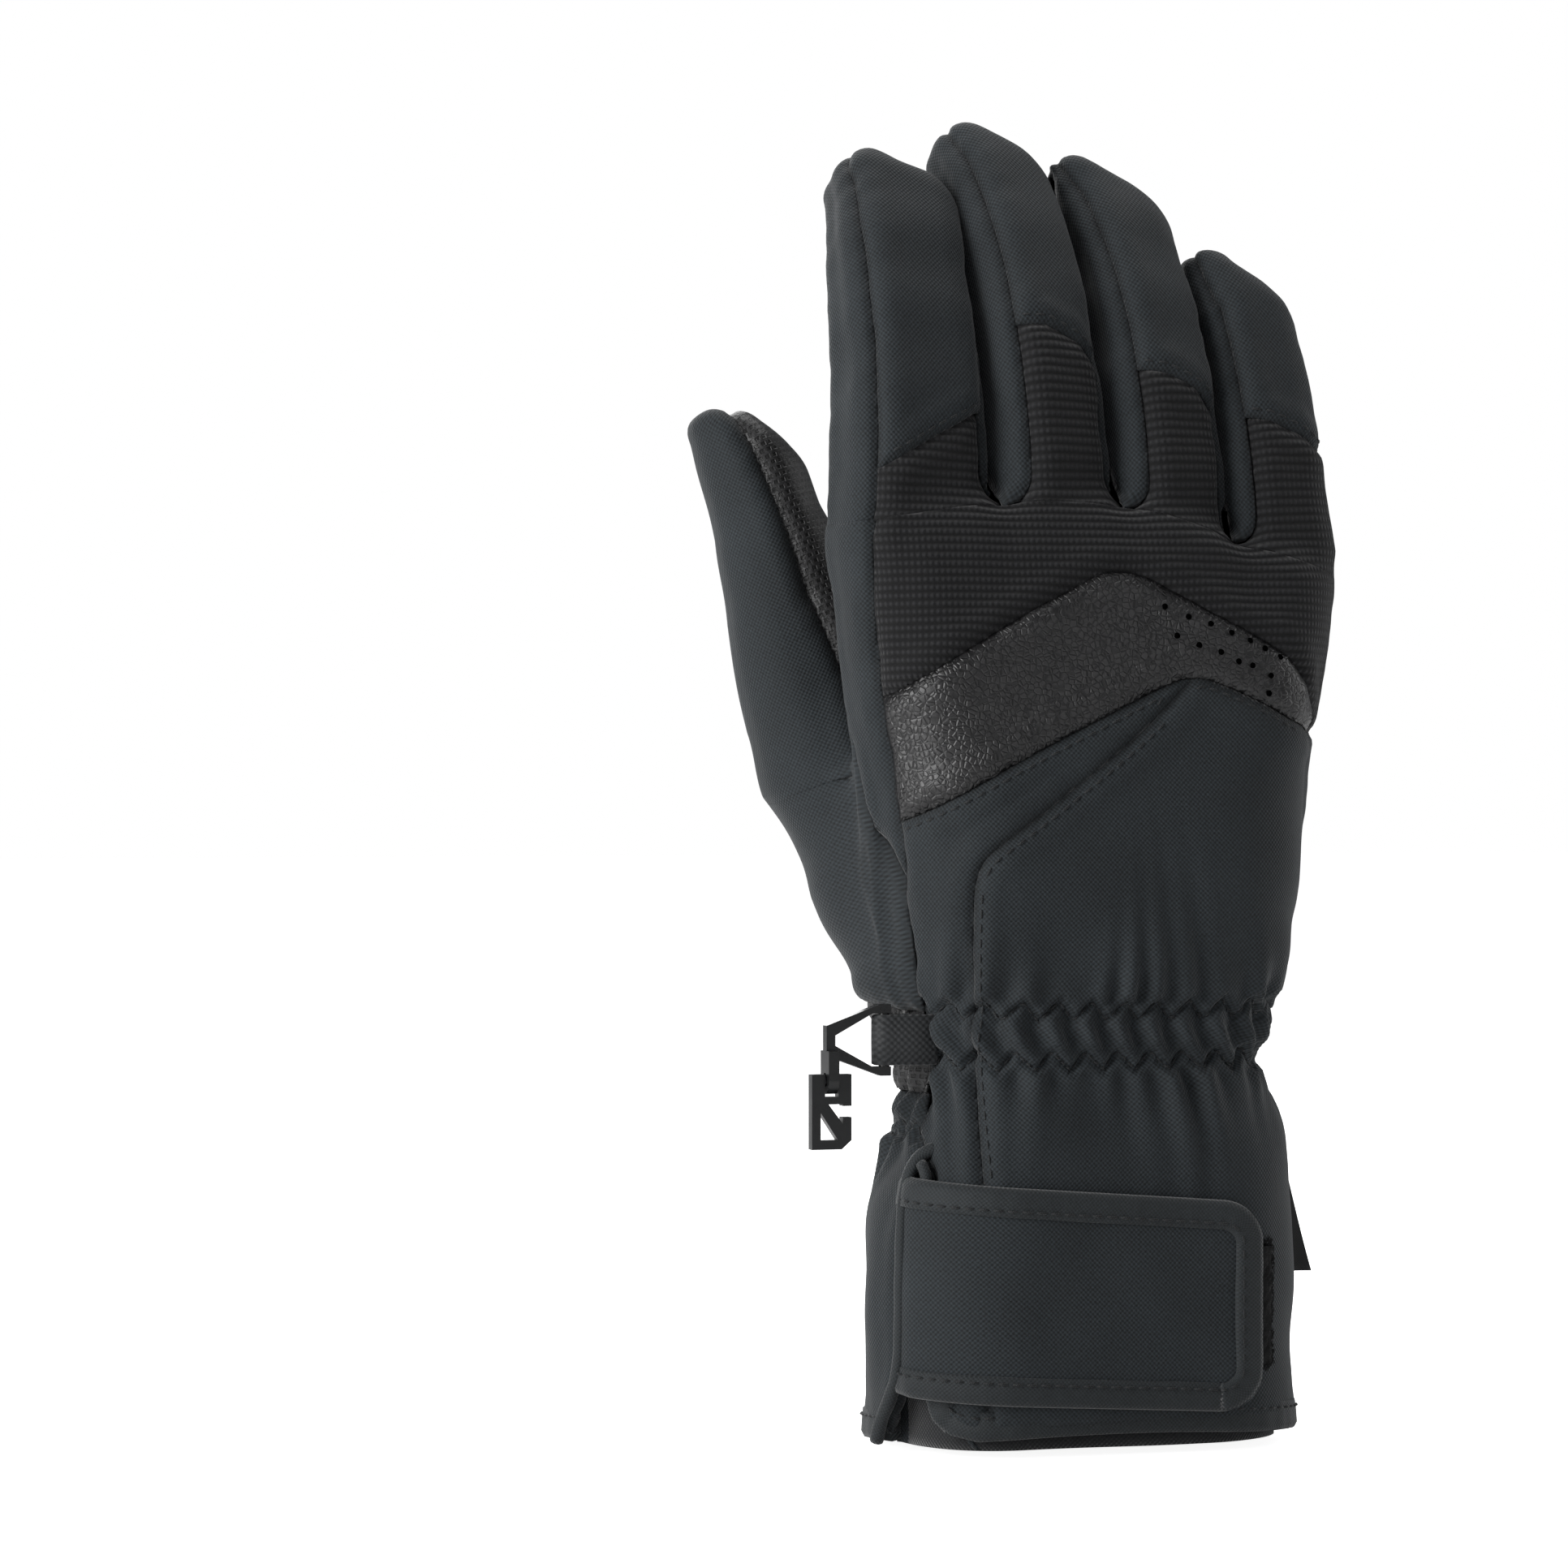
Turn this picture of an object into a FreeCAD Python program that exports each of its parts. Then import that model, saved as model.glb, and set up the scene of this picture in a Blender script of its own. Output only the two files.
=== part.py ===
"""A right-hand ski glove, standing on its cuff: fingers up (+Z), back of the hand to -Y, thumb to -X.

Millimetres. The origin is the middle of the cuff's mouth, on the plane that the hem stands on.
The glove is layered like the sewn one: shell panels outside, then padding, then lining round the hand's
space. Fingers and thumb turn at the knuckles, the closure strap turns at its sewn end, and the clip's
ring and hook swing.
"""
import FreeCAD, Part
import math
import os
import Sketcher
from FreeCAD import Placement, Rotation, Vector

OUT = "parts"
FINGERS = ("index", "middle", "ring", "little")
FAR = 400.0  # reach of the cutting blocks, well past the glove
LAP = 2.0    # how far a cutting shape runs past the face that it cuts

SIZES = [
    # the hand's outline: the width and depth of the outer shell at each height
    ("cuff_width", 95.5), ("cuff_depth", 60), ("cuff_corner", 27), ("cuff_top", 60),
    ("wrist_height", 86), ("wrist_width", 81), ("wrist_depth", 50), ("wrist_corner", 23),
    ("heel_height", 122), ("heel_width", 95), ("heel_depth", 53), ("heel_corner", 25),
    ("palm_height", 165), ("palm_width", 105), ("palm_depth", 46), ("palm_corner", 21),
    ("knuckle_height", 209), ("knuckle_width", 106.6), ("knuckle_depth", 34), ("knuckle_corner", 15),
    # the layers
    ("shell_thick", 1.2), ("padding_thick", 3.5), ("cuff_padding", 1), ("lining_thick", 0.8),
    ("finger_shell", 1), ("finger_padding", 2.5), ("finger_lining", 0.7),
    # the fingers: width and depth at the knuckle, length along the finger, the knuckle's drop below the
    # hand's top, lean towards the middle finger, radius of the rest curl, and how far the knit runs up
    ("index_width", 27), ("index_depth", 25), ("index_length", 86), ("index_drop", 3),
    ("index_lean", 2.5), ("index_curl", 116), ("index_knit", 14),
    ("middle_width", 26.5), ("middle_depth", 25), ("middle_length", 93), ("middle_drop", 1),
    ("middle_lean", 0), ("middle_curl", 116), ("middle_knit", 33),
    ("ring_width", 26), ("ring_depth", 24.5), ("ring_length", 88), ("ring_drop", 4),
    ("ring_lean", 0), ("ring_curl", 116), ("ring_knit", 27),
    ("little_width", 25), ("little_depth", 23.5), ("little_length", 71), ("little_drop", 12),
    ("little_lean", -2), ("little_curl", 150), ("little_knit", 25),
    ("finger_gap", 0.7), ("finger_taper", 0.82), ("tip_length", 15), ("finger_corner", 9),
    ("side_seam", 5.5), ("finger_flex", 60), ("flex_spare", 6), ("joint_gap", 0.35), ("base_lap", 55),
    # the thumb: its joint, the joint of the heel of the thumb, the way it points, and its radii
    ("thumb_x", -42), ("thumb_y", 33.5), ("thumb_z", 150), ("thumb_lean", 20.6), ("thumb_forward", 6),
    ("thumb_radius", 16), ("thumb_tip_radius", 11.4), ("thumb_length", 69), ("thumb_flex", 28),
    ("thumb_open", 10),
    ("thenar_x", -26), ("thenar_y", 11), ("thenar_z", 118), ("thenar_radius", 20.5),
    ("pad_turn", 37),
    # the shell's seams on the back of the hand and on the palm
    ("edge_seam", 8), ("little_edge_back", 3), ("little_edge_palm", 11), ("strip_foot", 125),
    ("palm_seam", 79), ("patch_low", 138), ("patch_high", 189), ("patch_thick", 0.9),
    ("patch_margin", 9),
    # the cuff's hem, vent, closure and elastic
    ("hem_height", 6.5), ("hem_wall", 0.8), ("hem_floor", 1.2),
    ("vent_turn", 28.5), ("vent_width", 8), ("vent_height", 62), ("gusset_thick", 0.7),
    ("gusset_lap", 3), ("piping_radius", 1.6),
    ("root_gap", 1.9), ("strap_low", 9), ("strap_height", 49), ("strap_end", 31), ("strap_thick", 1.6),
    ("strap_corner", 9), ("strap_edge", 5.5), ("edge_thick", 0.5), ("patch_gap", 0.3),
    ("loop_left", -14), ("loop_right", 35.5), ("loop_low", 17), ("loop_height", 31), ("loop_thick", 1),
    ("hook_length", 34), ("hook_height", 27), ("hook_thick", 0.9),
    ("elastic_height", 17), ("elastic_thick", 0.8),
    # the side label
    ("label_height", 27), ("label_reach", 5), ("label_tuck", 0.6), ("label_top", 2.8), ("label_thick", 0.6),
    ("label_low", 35),
    # the webbing loop and the clip: a ring whose bar turns in the webbing, and a hook hung under its nose
    ("web_height", 11), ("web_thick", 1.2), ("web_reach", 8), ("web_z", 90), ("web_y", -9),
    ("bar_radius", 1.2), ("ring_reach", 13.5), ("ring_nose", 4.5), ("ring_thick", 2.6), ("ring_rim", 2),
    ("clip_gap", 0.3), ("lug_drop", 8.6), ("lug_radius", 3), ("lug_thick", 2.4), ("pin_radius", 1.3),
    ("hook_width", 9), ("hook_drop", 15), ("hook_rim", 2), ("hook_bar", 2.6), ("hook_neck", 5.2),
    ("hook_gate", 2.4), ("tongue_width", 1.8),
]

doc = FreeCAD.newDocument("ski_glove")
sheet = doc.addObject("Spreadsheet::Sheet", "sizes")


def fill_sheet():
    """Writes each driving dimension into the sheet as a plain number with its alias."""
    for row, (alias, number) in enumerate(SIZES, start=1):
        sheet.set(f"A{row}", alias)
        sheet.set(f"B{row}", str(number))
        sheet.setAlias(f"B{row}", alias)
    doc.recompute()


def size(alias):
    """The present value of a driving dimension."""
    return float(getattr(sheet, alias))


def piece(label, shape, place=None):
    """A sub-part whose shape is made with Part's own functions."""
    feature = doc.addObject("Part::Feature", label)
    feature.Label = label
    feature.Shape = shape
    if place is not None:
        feature.Placement = place
    return feature


def solids_of(shape, smallest=5.0):
    """The shape's solids as one shape, without crumbs of a cut under a few cubic millimetres."""
    kept = [s for s in shape.Solids if s.Volume > smallest]
    if len(kept) == 1:
        return kept[0]
    return Part.makeCompound(kept)


def block(low, high):
    """A cutting block between two corners."""
    return Part.makeBox(high[0] - low[0], high[1] - low[1], high[2] - low[2], Vector(*low))


def cut_all(shape, tools):
    """The shape with each tool cut from it in turn."""
    for tool in tools:
        shape = shape.cut(tool)
    return shape


def prism(points, toward, depth):
    """A prism over a closed outline of points, pushed along a direction."""
    face = Part.Face(Part.makePolygon([Vector(*p) for p in points] + [Vector(*points[0])]))
    return face.extrude(Vector(*toward) * depth)


def rounded(width, depth, corner, frame=None):
    """A rounded rectangle in the frame's XY plane, as a wire of four lines and four arcs."""
    corner = max(0.4, min(corner, width / 2 - 0.05, depth / 2 - 0.05))
    a, b = width / 2 - corner, depth / 2 - corner
    centres = [(a, b, 0), (-a, b, 90), (-a, -b, 180), (a, -b, 270)]
    arcs = []
    for x, y, start in centres:
        points = [Vector(x + corner * math.cos(math.radians(start + turn)),
                         y + corner * math.sin(math.radians(start + turn)), 0) for turn in (0, 45, 90)]
        arcs.append(points)
    edges = []
    for here, after in zip(arcs, arcs[1:] + arcs[:1]):
        edges.append(Part.Arc(*here).toShape())
        if (after[0] - here[2]).Length > 1e-6:
            edges.append(Part.LineSegment(here[2], after[0]).toShape())
    wire = Part.Wire(edges)
    if frame is not None:
        wire = wire.transformGeometry(frame.toMatrix())
    return wire


# ---------------------------------------------------------------------------------- the hand and cuff

def hand_station(name, inset):
    """One cross-section of the hand, set in from the outer shell."""
    frame = Placement(Vector(0, 0, size(name + "_height")), Rotation())
    return rounded(size(name + "_width") - 2 * inset, size(name + "_depth") - 2 * inset,
                   size(name + "_corner") - inset, frame)


def cuff_outline(inset, height):
    """The straight cuff's outline at a height, set in from its outer face."""
    return rounded(size("cuff_width") - 2 * inset, size("cuff_depth") - 2 * inset,
                   size("cuff_corner") - inset, Placement(Vector(0, 0, height), Rotation()))


def cuff_block(inset, low, high):
    """The straight cuff as a solid between two heights."""
    return Part.Face(cuff_outline(inset, low)).extrude(Vector(0, 0, high - low))


def hand_skin(cuff_inset, hand_inset, past=0.0):
    """The hand and cuff as a solid, set in by one amount in the cuff and another in the hand.

    past runs its open ends further, for a shape that hollows another one.
    """
    top = size("cuff_top")
    cuff = cuff_block(cuff_inset, -past, top)
    sections = [cuff_outline(cuff_inset, top)]
    sections += [hand_station(name, hand_inset) for name in ("wrist", "heel", "palm", "knuckle")]
    hand = Part.makeLoft(sections, True, False)
    if past:
        lid = Part.Face(sections[-1]).extrude(Vector(0, 0, past))
        hand = hand.fuse(lid)
    return cuff.fuse(hand).removeSplitter()


def thumb_direction():
    """The unit direction in which the thumb points from its joint."""
    lean, forward = math.radians(size("thumb_lean")), math.radians(size("thumb_forward"))
    return Vector(-math.sin(lean), math.sin(forward) * math.cos(lean), math.cos(forward) * math.cos(lean))


def thumb_joint():
    return Vector(size("thumb_x"), size("thumb_y"), size("thumb_z"))


def ball_cone(start, end, start_radius, end_radius):
    """Two balls and the cone between them."""
    way = end - start
    shape = Part.makeCone(start_radius, end_radius, way.Length, start, way)
    return shape.fuse([Part.makeSphere(start_radius, start), Part.makeSphere(end_radius, end)])


def thenar_skin(inset):
    """The heel of the thumb, which carries the thumb's joint, as a solid."""
    foot = Vector(size("thenar_x"), size("thenar_y"), size("thenar_z"))
    rim = size("thumb_radius") + size("joint_gap") + size("shell_thick")
    return ball_cone(foot, thumb_joint(), size("thenar_radius") - inset, rim - inset)


# ---------------------------------------------------------------------------------- the fingers

def finger_centres():
    """Each finger's place across the hand: side by side, with the gap between them."""
    widths = [size(name + "_width") for name in FINGERS]
    at = -(sum(widths) + size("finger_gap") * (len(FINGERS) - 1)) / 2
    centres = {}
    for name, width in zip(FINGERS, widths):
        centres[name] = at + width / 2
        at += width + size("finger_gap")
    return centres


def finger_frame(name):
    """The finger's own frame: its knuckle at the origin, its joint along X, the palm to +Y."""
    centre = Vector(finger_centres()[name], 0, size("knuckle_height") - size(name + "_drop"))
    return Placement(centre, Rotation(Vector(0, 1, 0), size(name + "_lean")))


def finger_skin(name, inset, past=0.0):
    """A finger as a solid in its own frame, set in from its shell: curled about the palm side."""
    curl, length = size(name + "_curl"), size(name + "_length") - inset
    tip, taper = size("tip_length") - inset, size("finger_taper")
    sections = []

    def add(run, share):
        turn = math.degrees(run / curl)
        slim = 1 - (1 - taper) * run / length
        if run < 0:
            turn, slim = 0.0, 1.0
        centre = Vector(0, curl * (1 - math.cos(math.radians(turn))), curl * math.sin(math.radians(turn)))
        if run < 0:
            centre = Vector(0, 0, run)
        frame = Placement(centre, Rotation(Vector(1, 0, 0), -turn))
        width = (size(name + "_width") * slim - 2 * inset) * share
        depth = (size(name + "_depth") * slim - 2 * inset) * share
        corner = (size("finger_corner") - inset) * (0.6 + 0.4 * share)
        sections.append(rounded(width, depth, min(corner, 0.49 * width, 0.49 * depth), frame))

    for step in range(7):
        add((length - tip) * step / 6, 1.0)
    for share in (0.3, 0.55, 0.76, 0.9, 0.98):
        add(length - tip + tip * share, math.sqrt(1 - share ** 2))
    solid = Part.makeLoft(sections, True, True)
    if past:
        foot = Part.Face(sections[0]).extrude(Vector(0, 0, -past))
        solid = solid.fuse(foot)
    return solid


def curl_cylinder(name, out):
    """A cylinder about the finger's centre of curl, out from its middle line by out."""
    width, curl = size(name + "_width"), size(name + "_curl")
    return Part.makeCylinder(curl + out, width + 2 * LAP, Vector(-width / 2 - LAP, curl, 0), Vector(1, 0, 0))


def finger_base(name, outer_inset, inner_inset, side):
    """The rounded lap of a finger's padding below the knuckle, on the palm side (1) or the back (-1)."""
    width, depth, corner = size(name + "_width"), size(name + "_depth"), size("finger_corner")
    outer = Part.Face(rounded(width - 2 * outer_inset, depth - 2 * outer_inset, corner - outer_inset))
    inner = Part.Face(rounded(width - 2 * inner_inset, depth - 2 * inner_inset, corner - inner_inset))
    low, high = sorted((0, side * depth))
    half = outer.cut(inner).common(block((-width, low, -LAP), (width, high, LAP)))
    return half.Faces[0].revolve(Vector(0, 0, 0), Vector(1, 0, 0), -side * size("base_lap"))


def finger_seat(name):
    """The room that a finger needs in the hand: its knuckle's barrel, all above it, and its way forward."""
    gap, flex = size("joint_gap"), math.radians(size("finger_flex") + size("flex_spare"))
    radius = size(name + "_depth") / 2 + gap
    half = size(name + "_width") / 2 + gap + size("finger_gap") / 2
    left = -FAR / 4 if name == FINGERS[0] else -half
    right = FAR / 4 if name == FINGERS[-1] else half
    barrel = Part.makeCylinder(radius, right - left, Vector(left, 0, 0), Vector(1, 0, 0))
    above = block((left, -FAR / 4, 0), (right, FAR / 4, FAR / 4))
    reach = radius / math.cos(flex)
    way = prism([(left, 0, LAP), (left, 0, 0), (left, radius * math.cos(flex), -radius * math.sin(flex)),
                 (left, reach, 0), (left, reach, LAP)], (1, 0, 0), right - left)
    seat = barrel.fuse([above, way])
    seat.Placement = finger_frame(name)
    return seat


def build_finger(name):
    """One finger's shell panels, padding and lining, all in the finger's own frame."""
    shell, padding = size("finger_shell"), size("finger_padding")
    insets = [0, shell, shell + padding, shell + padding + size("finger_lining")]
    skins = [finger_skin(name, insets[0])] + [finger_skin(name, i, LAP) for i in insets[1:]]
    layers = [outer.cut(inner) for outer, inner in zip(skins, skins[1:])]
    width, depth, seam = size(name + "_width"), size(name + "_depth"), size("side_seam")
    floor = block((-FAR, -FAR, 0), (FAR, FAR, FAR))
    layers = [layer.common(floor) for layer in layers]

    back_cut = curl_cylinder(name, depth / 2 - seam)
    palm_cut = curl_cylinder(name, -(depth / 2 - seam))
    middle = curl_cylinder(name, 0)
    below_seam = block((-width, -FAR, -LAP), (width, FAR, size(name + "_knit")))
    back = layers[0].cut(back_cut)
    place = finger_frame(name)
    piece(name + "_knit", solids_of(back.common(below_seam)), place)
    piece(name + "_back_panel", solids_of(back.cut(below_seam)), place)
    piece(name + "_palm_panel", solids_of(layers[0].common(palm_cut)), place)
    piece(name + "_sides", solids_of(layers[0].common(back_cut).cut(palm_cut)), place)

    halves = []
    for side in (1, -1):
        half = layers[1].common(middle) if side == 1 else layers[1].cut(middle)
        base = finger_base(name, 0, insets[2], side)
        halves.append(solids_of(half.fuse(base)))
    piece(name + "_padding", Part.makeCompound(halves), place)
    lining = [solids_of(layers[2].common(middle)), solids_of(layers[2].cut(middle))]
    piece(name + "_lining", Part.makeCompound(lining), place)


# ---------------------------------------------------------------------------------- the thumb

def thumb_frame():
    """The thumb's own frame: its joint at the origin, pointing along +Z, its pad to +X."""
    turn = Rotation(Vector(0, 0, 1), thumb_direction())
    pad = turn.multVec(Vector(1, 0, 0))
    wanted = math.radians(-size("pad_turn"))
    offset = wanted - math.atan2(pad.y, pad.x)
    return Placement(thumb_joint(), turn.multiply(Rotation(Vector(0, 0, 1), math.degrees(offset))))


def thumb_skin(inset):
    """The thumb as a solid in its own frame, set in from its shell."""
    tip = Vector(0, 0, size("thumb_length"))
    return ball_cone(Vector(0, 0, 0), tip, size("thumb_radius") - inset, size("thumb_tip_radius") - inset)


def thumb_axis():
    """The thumb's joint axis: square to the thumb, and to the way it closes, across and out of the palm."""
    closing = Vector(0.8, 0.6, 0)
    return closing.cross(thumb_direction()).normalize()


def thumb_seat():
    """The room that the thumb needs in the hand: its ball, and its cone over the joint's range."""
    gap = size("joint_gap")
    radius, tip = size("thumb_radius") + gap, size("thumb_tip_radius") + gap
    ball = Part.makeSphere(radius, thumb_joint())
    parts = []
    turns = [size("thumb_open")] + [-size("thumb_flex") * share for share in (0, 0.25, 0.5, 0.75, 1)]
    for turn in turns:
        turned = Rotation(thumb_axis(), turn)
        way = turned.multVec(thumb_direction())
        length, start = size("thumb_length"), LAP / 2
        foot = radius + (tip - radius) * start / length
        parts.append(Part.makeCone(foot, tip, length - start, thumb_joint() + way * start, way))
    return [ball] + parts


def build_thumb():
    """The thumb's shell in two panels, its padding with the ball that laps into the hand, and its lining."""
    shell, padding = size("finger_shell"), size("finger_padding")
    insets = [0, shell, shell + padding, shell + padding + size("finger_lining")]
    skins = [thumb_skin(inset) for inset in insets]
    above = block((-FAR, -FAR, 0), (FAR, FAR, FAR))
    lap_low = -size("thumb_radius") * math.sin(math.radians(size("base_lap")))
    lapped = block((-FAR, -FAR, lap_low), (FAR, FAR, FAR))
    pad_side = block((0, -FAR, -FAR), (FAR, FAR, FAR))
    place = thumb_frame()
    cover = skins[0].cut(skins[1]).common(above)
    piece("thumb_palm_panel", solids_of(cover.common(pad_side)), place)
    piece("thumb_back_panel", solids_of(cover.cut(pad_side)), place)
    soft = skins[1].cut(skins[2]).common(above).fuse(skins[0].cut(skins[2]).common(lapped).cut(above))
    soft = soft.removeSplitter()
    piece("thumb_padding", Part.makeCompound([solids_of(soft.common(pad_side)), solids_of(soft.cut(pad_side))]),
          place)
    inner = skins[2].cut(skins[3]).common(above)
    piece("thumb_lining", Part.makeCompound([solids_of(inner.common(pad_side)), solids_of(inner.cut(pad_side))]),
          place)


# ---------------------------------------------------------------------------------- the hand's pieces

# The seams on the back of the hand, as shares: across the hand's half width, and up from wrist to knuckles
BAND_TOP = [(-1.2, 0.56), (-0.95, 0.642), (-0.44, 0.772), (-0.11, 0.841), (0.02, 0.856), (0.17, 0.841),
            (0.48, 0.78), (0.8, 0.72), (0.92, 0.667), (0.96, 0.593)]
BAND_LOW = [(0.63, 0.646), (0.43, 0.672), (0.3, 0.675), (0.1, 0.642), (-0.44, 0.528), (-0.88, 0.419),
            (-1.2, 0.34)]
DIAGONAL = [(0.36, 0.69), (0.1, 0.574), (-0.26, 0.457), (-0.53, 0.37), (-0.62, 0.321), (-0.63, 0.244),
            (-0.61, 0), (-0.61, -1)]


def seam_point(across, up):
    """A point of a seam, as (x, z), from its share across the hand and up from the wrist."""
    wrist, knuckle = size("wrist_height"), size("knuckle_height")
    return across * size("palm_width") / 2, wrist + up * (knuckle - wrist)


def front_prism(outline):
    """A prism on the back of the hand over an outline of seam shares."""
    return prism([(x, 0, z) for x, z in (seam_point(*pair) for pair in outline)], (0, -1, 0), FAR / 2)


def build_hand():
    """The hand's and cuff's shell panels, padding, lining and elastic."""
    shell, thick, cuff_pad = size("shell_thick"), size("padding_thick"), size("cuff_padding")
    lining = size("lining_thick")
    skins = [hand_skin(0, 0), hand_skin(shell, shell, LAP),
             hand_skin(shell + cuff_pad, shell + thick, LAP),
             hand_skin(shell + cuff_pad + lining, shell + thick + lining, LAP)]
    insets = [0, shell, shell + thick, shell + thick + lining]
    thenar = [thenar_skin(inset) for inset in insets]
    seats = [finger_seat(name) for name in FINGERS] + thumb_seat()
    hem = block((-FAR, -FAR, size("hem_floor")), (FAR, FAR, FAR))
    layers, roots = [], []
    for number in range(3):
        layer = skins[number].cut(skins[number + 1]).cut(thenar[number + 1])
        layers.append(cut_all(layer, seats).common(hem))
        roots.append(cut_all(thenar[number].cut(thenar[number + 1]).cut(skins[number]), seats))
    vent = vent_block()
    cover = layers[0].cut(vent)

    edge, foot, seam = size("edge_seam"), size("strip_foot"), size("palm_seam")
    thumb_side = block((-FAR, -edge, foot), (0, edge, FAR))
    little_side = block((0, -size("little_edge_back"), seam), (FAR, size("little_edge_palm"), FAR))
    back_zone = block((-FAR, -FAR, -LAP), (0, -edge, FAR)).fuse(
        block((0, -FAR, -LAP), (FAR, -size("little_edge_back"), FAR)))
    low_cuff = block((-FAR, -edge, -LAP), (FAR, FAR, seam)).cut(
        block((0, -FAR, -LAP), (FAR, -size("little_edge_back"), FAR)))
    piece("index_side_strip", solids_of(cover.common(thumb_side)))
    piece("little_side_strip", solids_of(cover.common(little_side)))
    piece("cuff_palm_panel", solids_of(cover.common(low_cuff)))
    rest = cover.cut(thumb_side).cut(little_side).cut(low_cuff).cut(back_zone)
    piece("palm_panel", solids_of(rest))

    back = cover.common(back_zone)
    band_zone = front_prism(BAND_TOP + BAND_LOW)
    band_end = BAND_TOP[-1][1]
    below = front_prism([(-3, -2), (-3, BAND_LOW[-1][1])] + BAND_LOW[::-1] +
                        [BAND_TOP[-1], (3, band_end), (3, -2)])
    band = back.common(band_zone)
    lower = back.common(below).cut(band_zone)
    knit = back.cut(below).cut(band_zone)
    thumb_part = front_prism([(-3, -1), (-3, DIAGONAL[0][1])] + DIAGONAL)
    piece("knuckle_band", solids_of(band))
    piece("knuckle_knit", solids_of(knit))
    piece("back_panel_thumb_side", solids_of(lower.common(thumb_part)))
    piece("back_panel_main", solids_of(lower.cut(thumb_part)))

    build_patch(seats, thenar[0])
    build_soft_layers(skins, layers, vent)
    for label, root in zip(("thumb_base_shell", "thumb_base_padding", "thumb_base_lining"), roots):
        piece(label, solids_of(root))


def build_patch(seats, thenar):
    """The reinforcement sewn over the palm, between the finger roots and the heel of the hand."""
    raised = hand_skin(0, -size("patch_thick"))
    low, high, margin = size("patch_low"), size("patch_high"), size("patch_margin")
    half = size("palm_width") / 2 - margin
    outline = [(-half, low + margin), (-half / 2, low), (half / 2, low), (half, low + margin),
               (half, high - margin / 3), (0, high), (-half, high - margin / 3)]
    zone = prism([(x, 0, z) for x, z in outline], (0, 1, 0), FAR / 2)
    patch = cut_all(raised.cut(hand_skin(0, 0, LAP)).common(zone), seats).cut(thenar)
    piece("palm_patch", solids_of(patch))


def build_soft_layers(skins, layers, vent):
    """The padding and lining in a back half and a palm half, with the wrist elastic let into the padding."""
    shell = size("shell_thick")
    low = size("wrist_height") - size("elastic_height") / 2
    slab = block((-FAR, -FAR, low), (FAR, FAR, low + size("elastic_height")))
    under = hand_skin(shell + size("elastic_thick"), shell + size("elastic_thick"), LAP)
    elastic = skins[1].cut(under).common(slab)
    piece("wrist_elastic", solids_of(elastic))
    back_half, palm_half = block((-FAR, -FAR, -FAR), (FAR, 0, FAR)), block((-FAR, 0, -FAR), (FAR, FAR, FAR))
    padding = layers[1].cut(elastic).cut(vent)
    inner = layers[2].cut(vent)
    piece("padding_back", solids_of(padding.common(back_half)))
    piece("padding_palm", solids_of(padding.common(palm_half)))
    piece("lining_back", solids_of(inner.common(back_half)))
    piece("lining_palm", solids_of(inner.common(palm_half)))


# ---------------------------------------------------------------------------------- bound sketches

def origin_plane(body, role):
    """One of the body's own origin planes."""
    return next(f for f in body.Origin.OriginFeatures if f.Role == role)


def term(*pairs):
    """A length made of driving dimensions: its value, and the expression that binds it."""
    value = sum(size(alias) * factor for alias, factor in pairs)
    words = " + ".join(f"sizes.{alias} * ({factor})" for alias, factor in pairs)
    return value, words


def number(value):
    """A length that is only a limit of a cut, past the glove."""
    return value, str(value)


def new_body(label):
    body = doc.addObject("PartDesign::Body", label)
    body.Label = label
    return body


def new_sketch(body, name, role, lift=None):
    """An empty sketch on one of the body's planes, lifted off it by a bound distance."""
    sketch = body.newObject("Sketcher::SketchObject", name)
    sketch.AttachmentSupport = (origin_plane(body, role), "")
    sketch.MapMode = "FlatFace"
    if lift is not None:
        sketch.setExpression(".AttachmentOffset.Base.z", lift[1])
    return sketch


def bind(sketch, kind, geometry, length):
    """A constraint whose value follows the sheet."""
    at = sketch.addConstraint(Sketcher.Constraint(kind, *geometry, length[0]))
    sketch.setExpression(f"Constraints[{at}]", length[1])


def add_outline(sketch, loop):
    """A closed loop of straight sides with its corners bound."""
    first, count = sketch.GeometryCount, len(loop)
    points = [Vector(x[0], y[0], 0) for x, y in loop]
    for here, after in zip(points, points[1:] + points[:1]):
        sketch.addGeometry(Part.LineSegment(here, after))
    for i in range(count):
        sketch.addConstraint(Sketcher.Constraint("Coincident", first + i, 2, first + (i + 1) % count, 1))
    for i, (x, y) in enumerate(loop):
        bind(sketch, "DistanceX", (-1, 1, first + i, 1), x)
        bind(sketch, "DistanceY", (-1, 1, first + i, 1), y)


def add_circle(sketch, x, y, radius):
    """A circle with its centre and radius bound."""
    at = sketch.addGeometry(Part.Circle(Vector(x[0], y[0], 0), Vector(0, 0, 1), radius[0]))
    bind(sketch, "DistanceX", (-1, 1, at, 3), x)
    bind(sketch, "DistanceY", (-1, 1, at, 3), y)
    bind(sketch, "Radius", (at,), radius)


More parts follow.
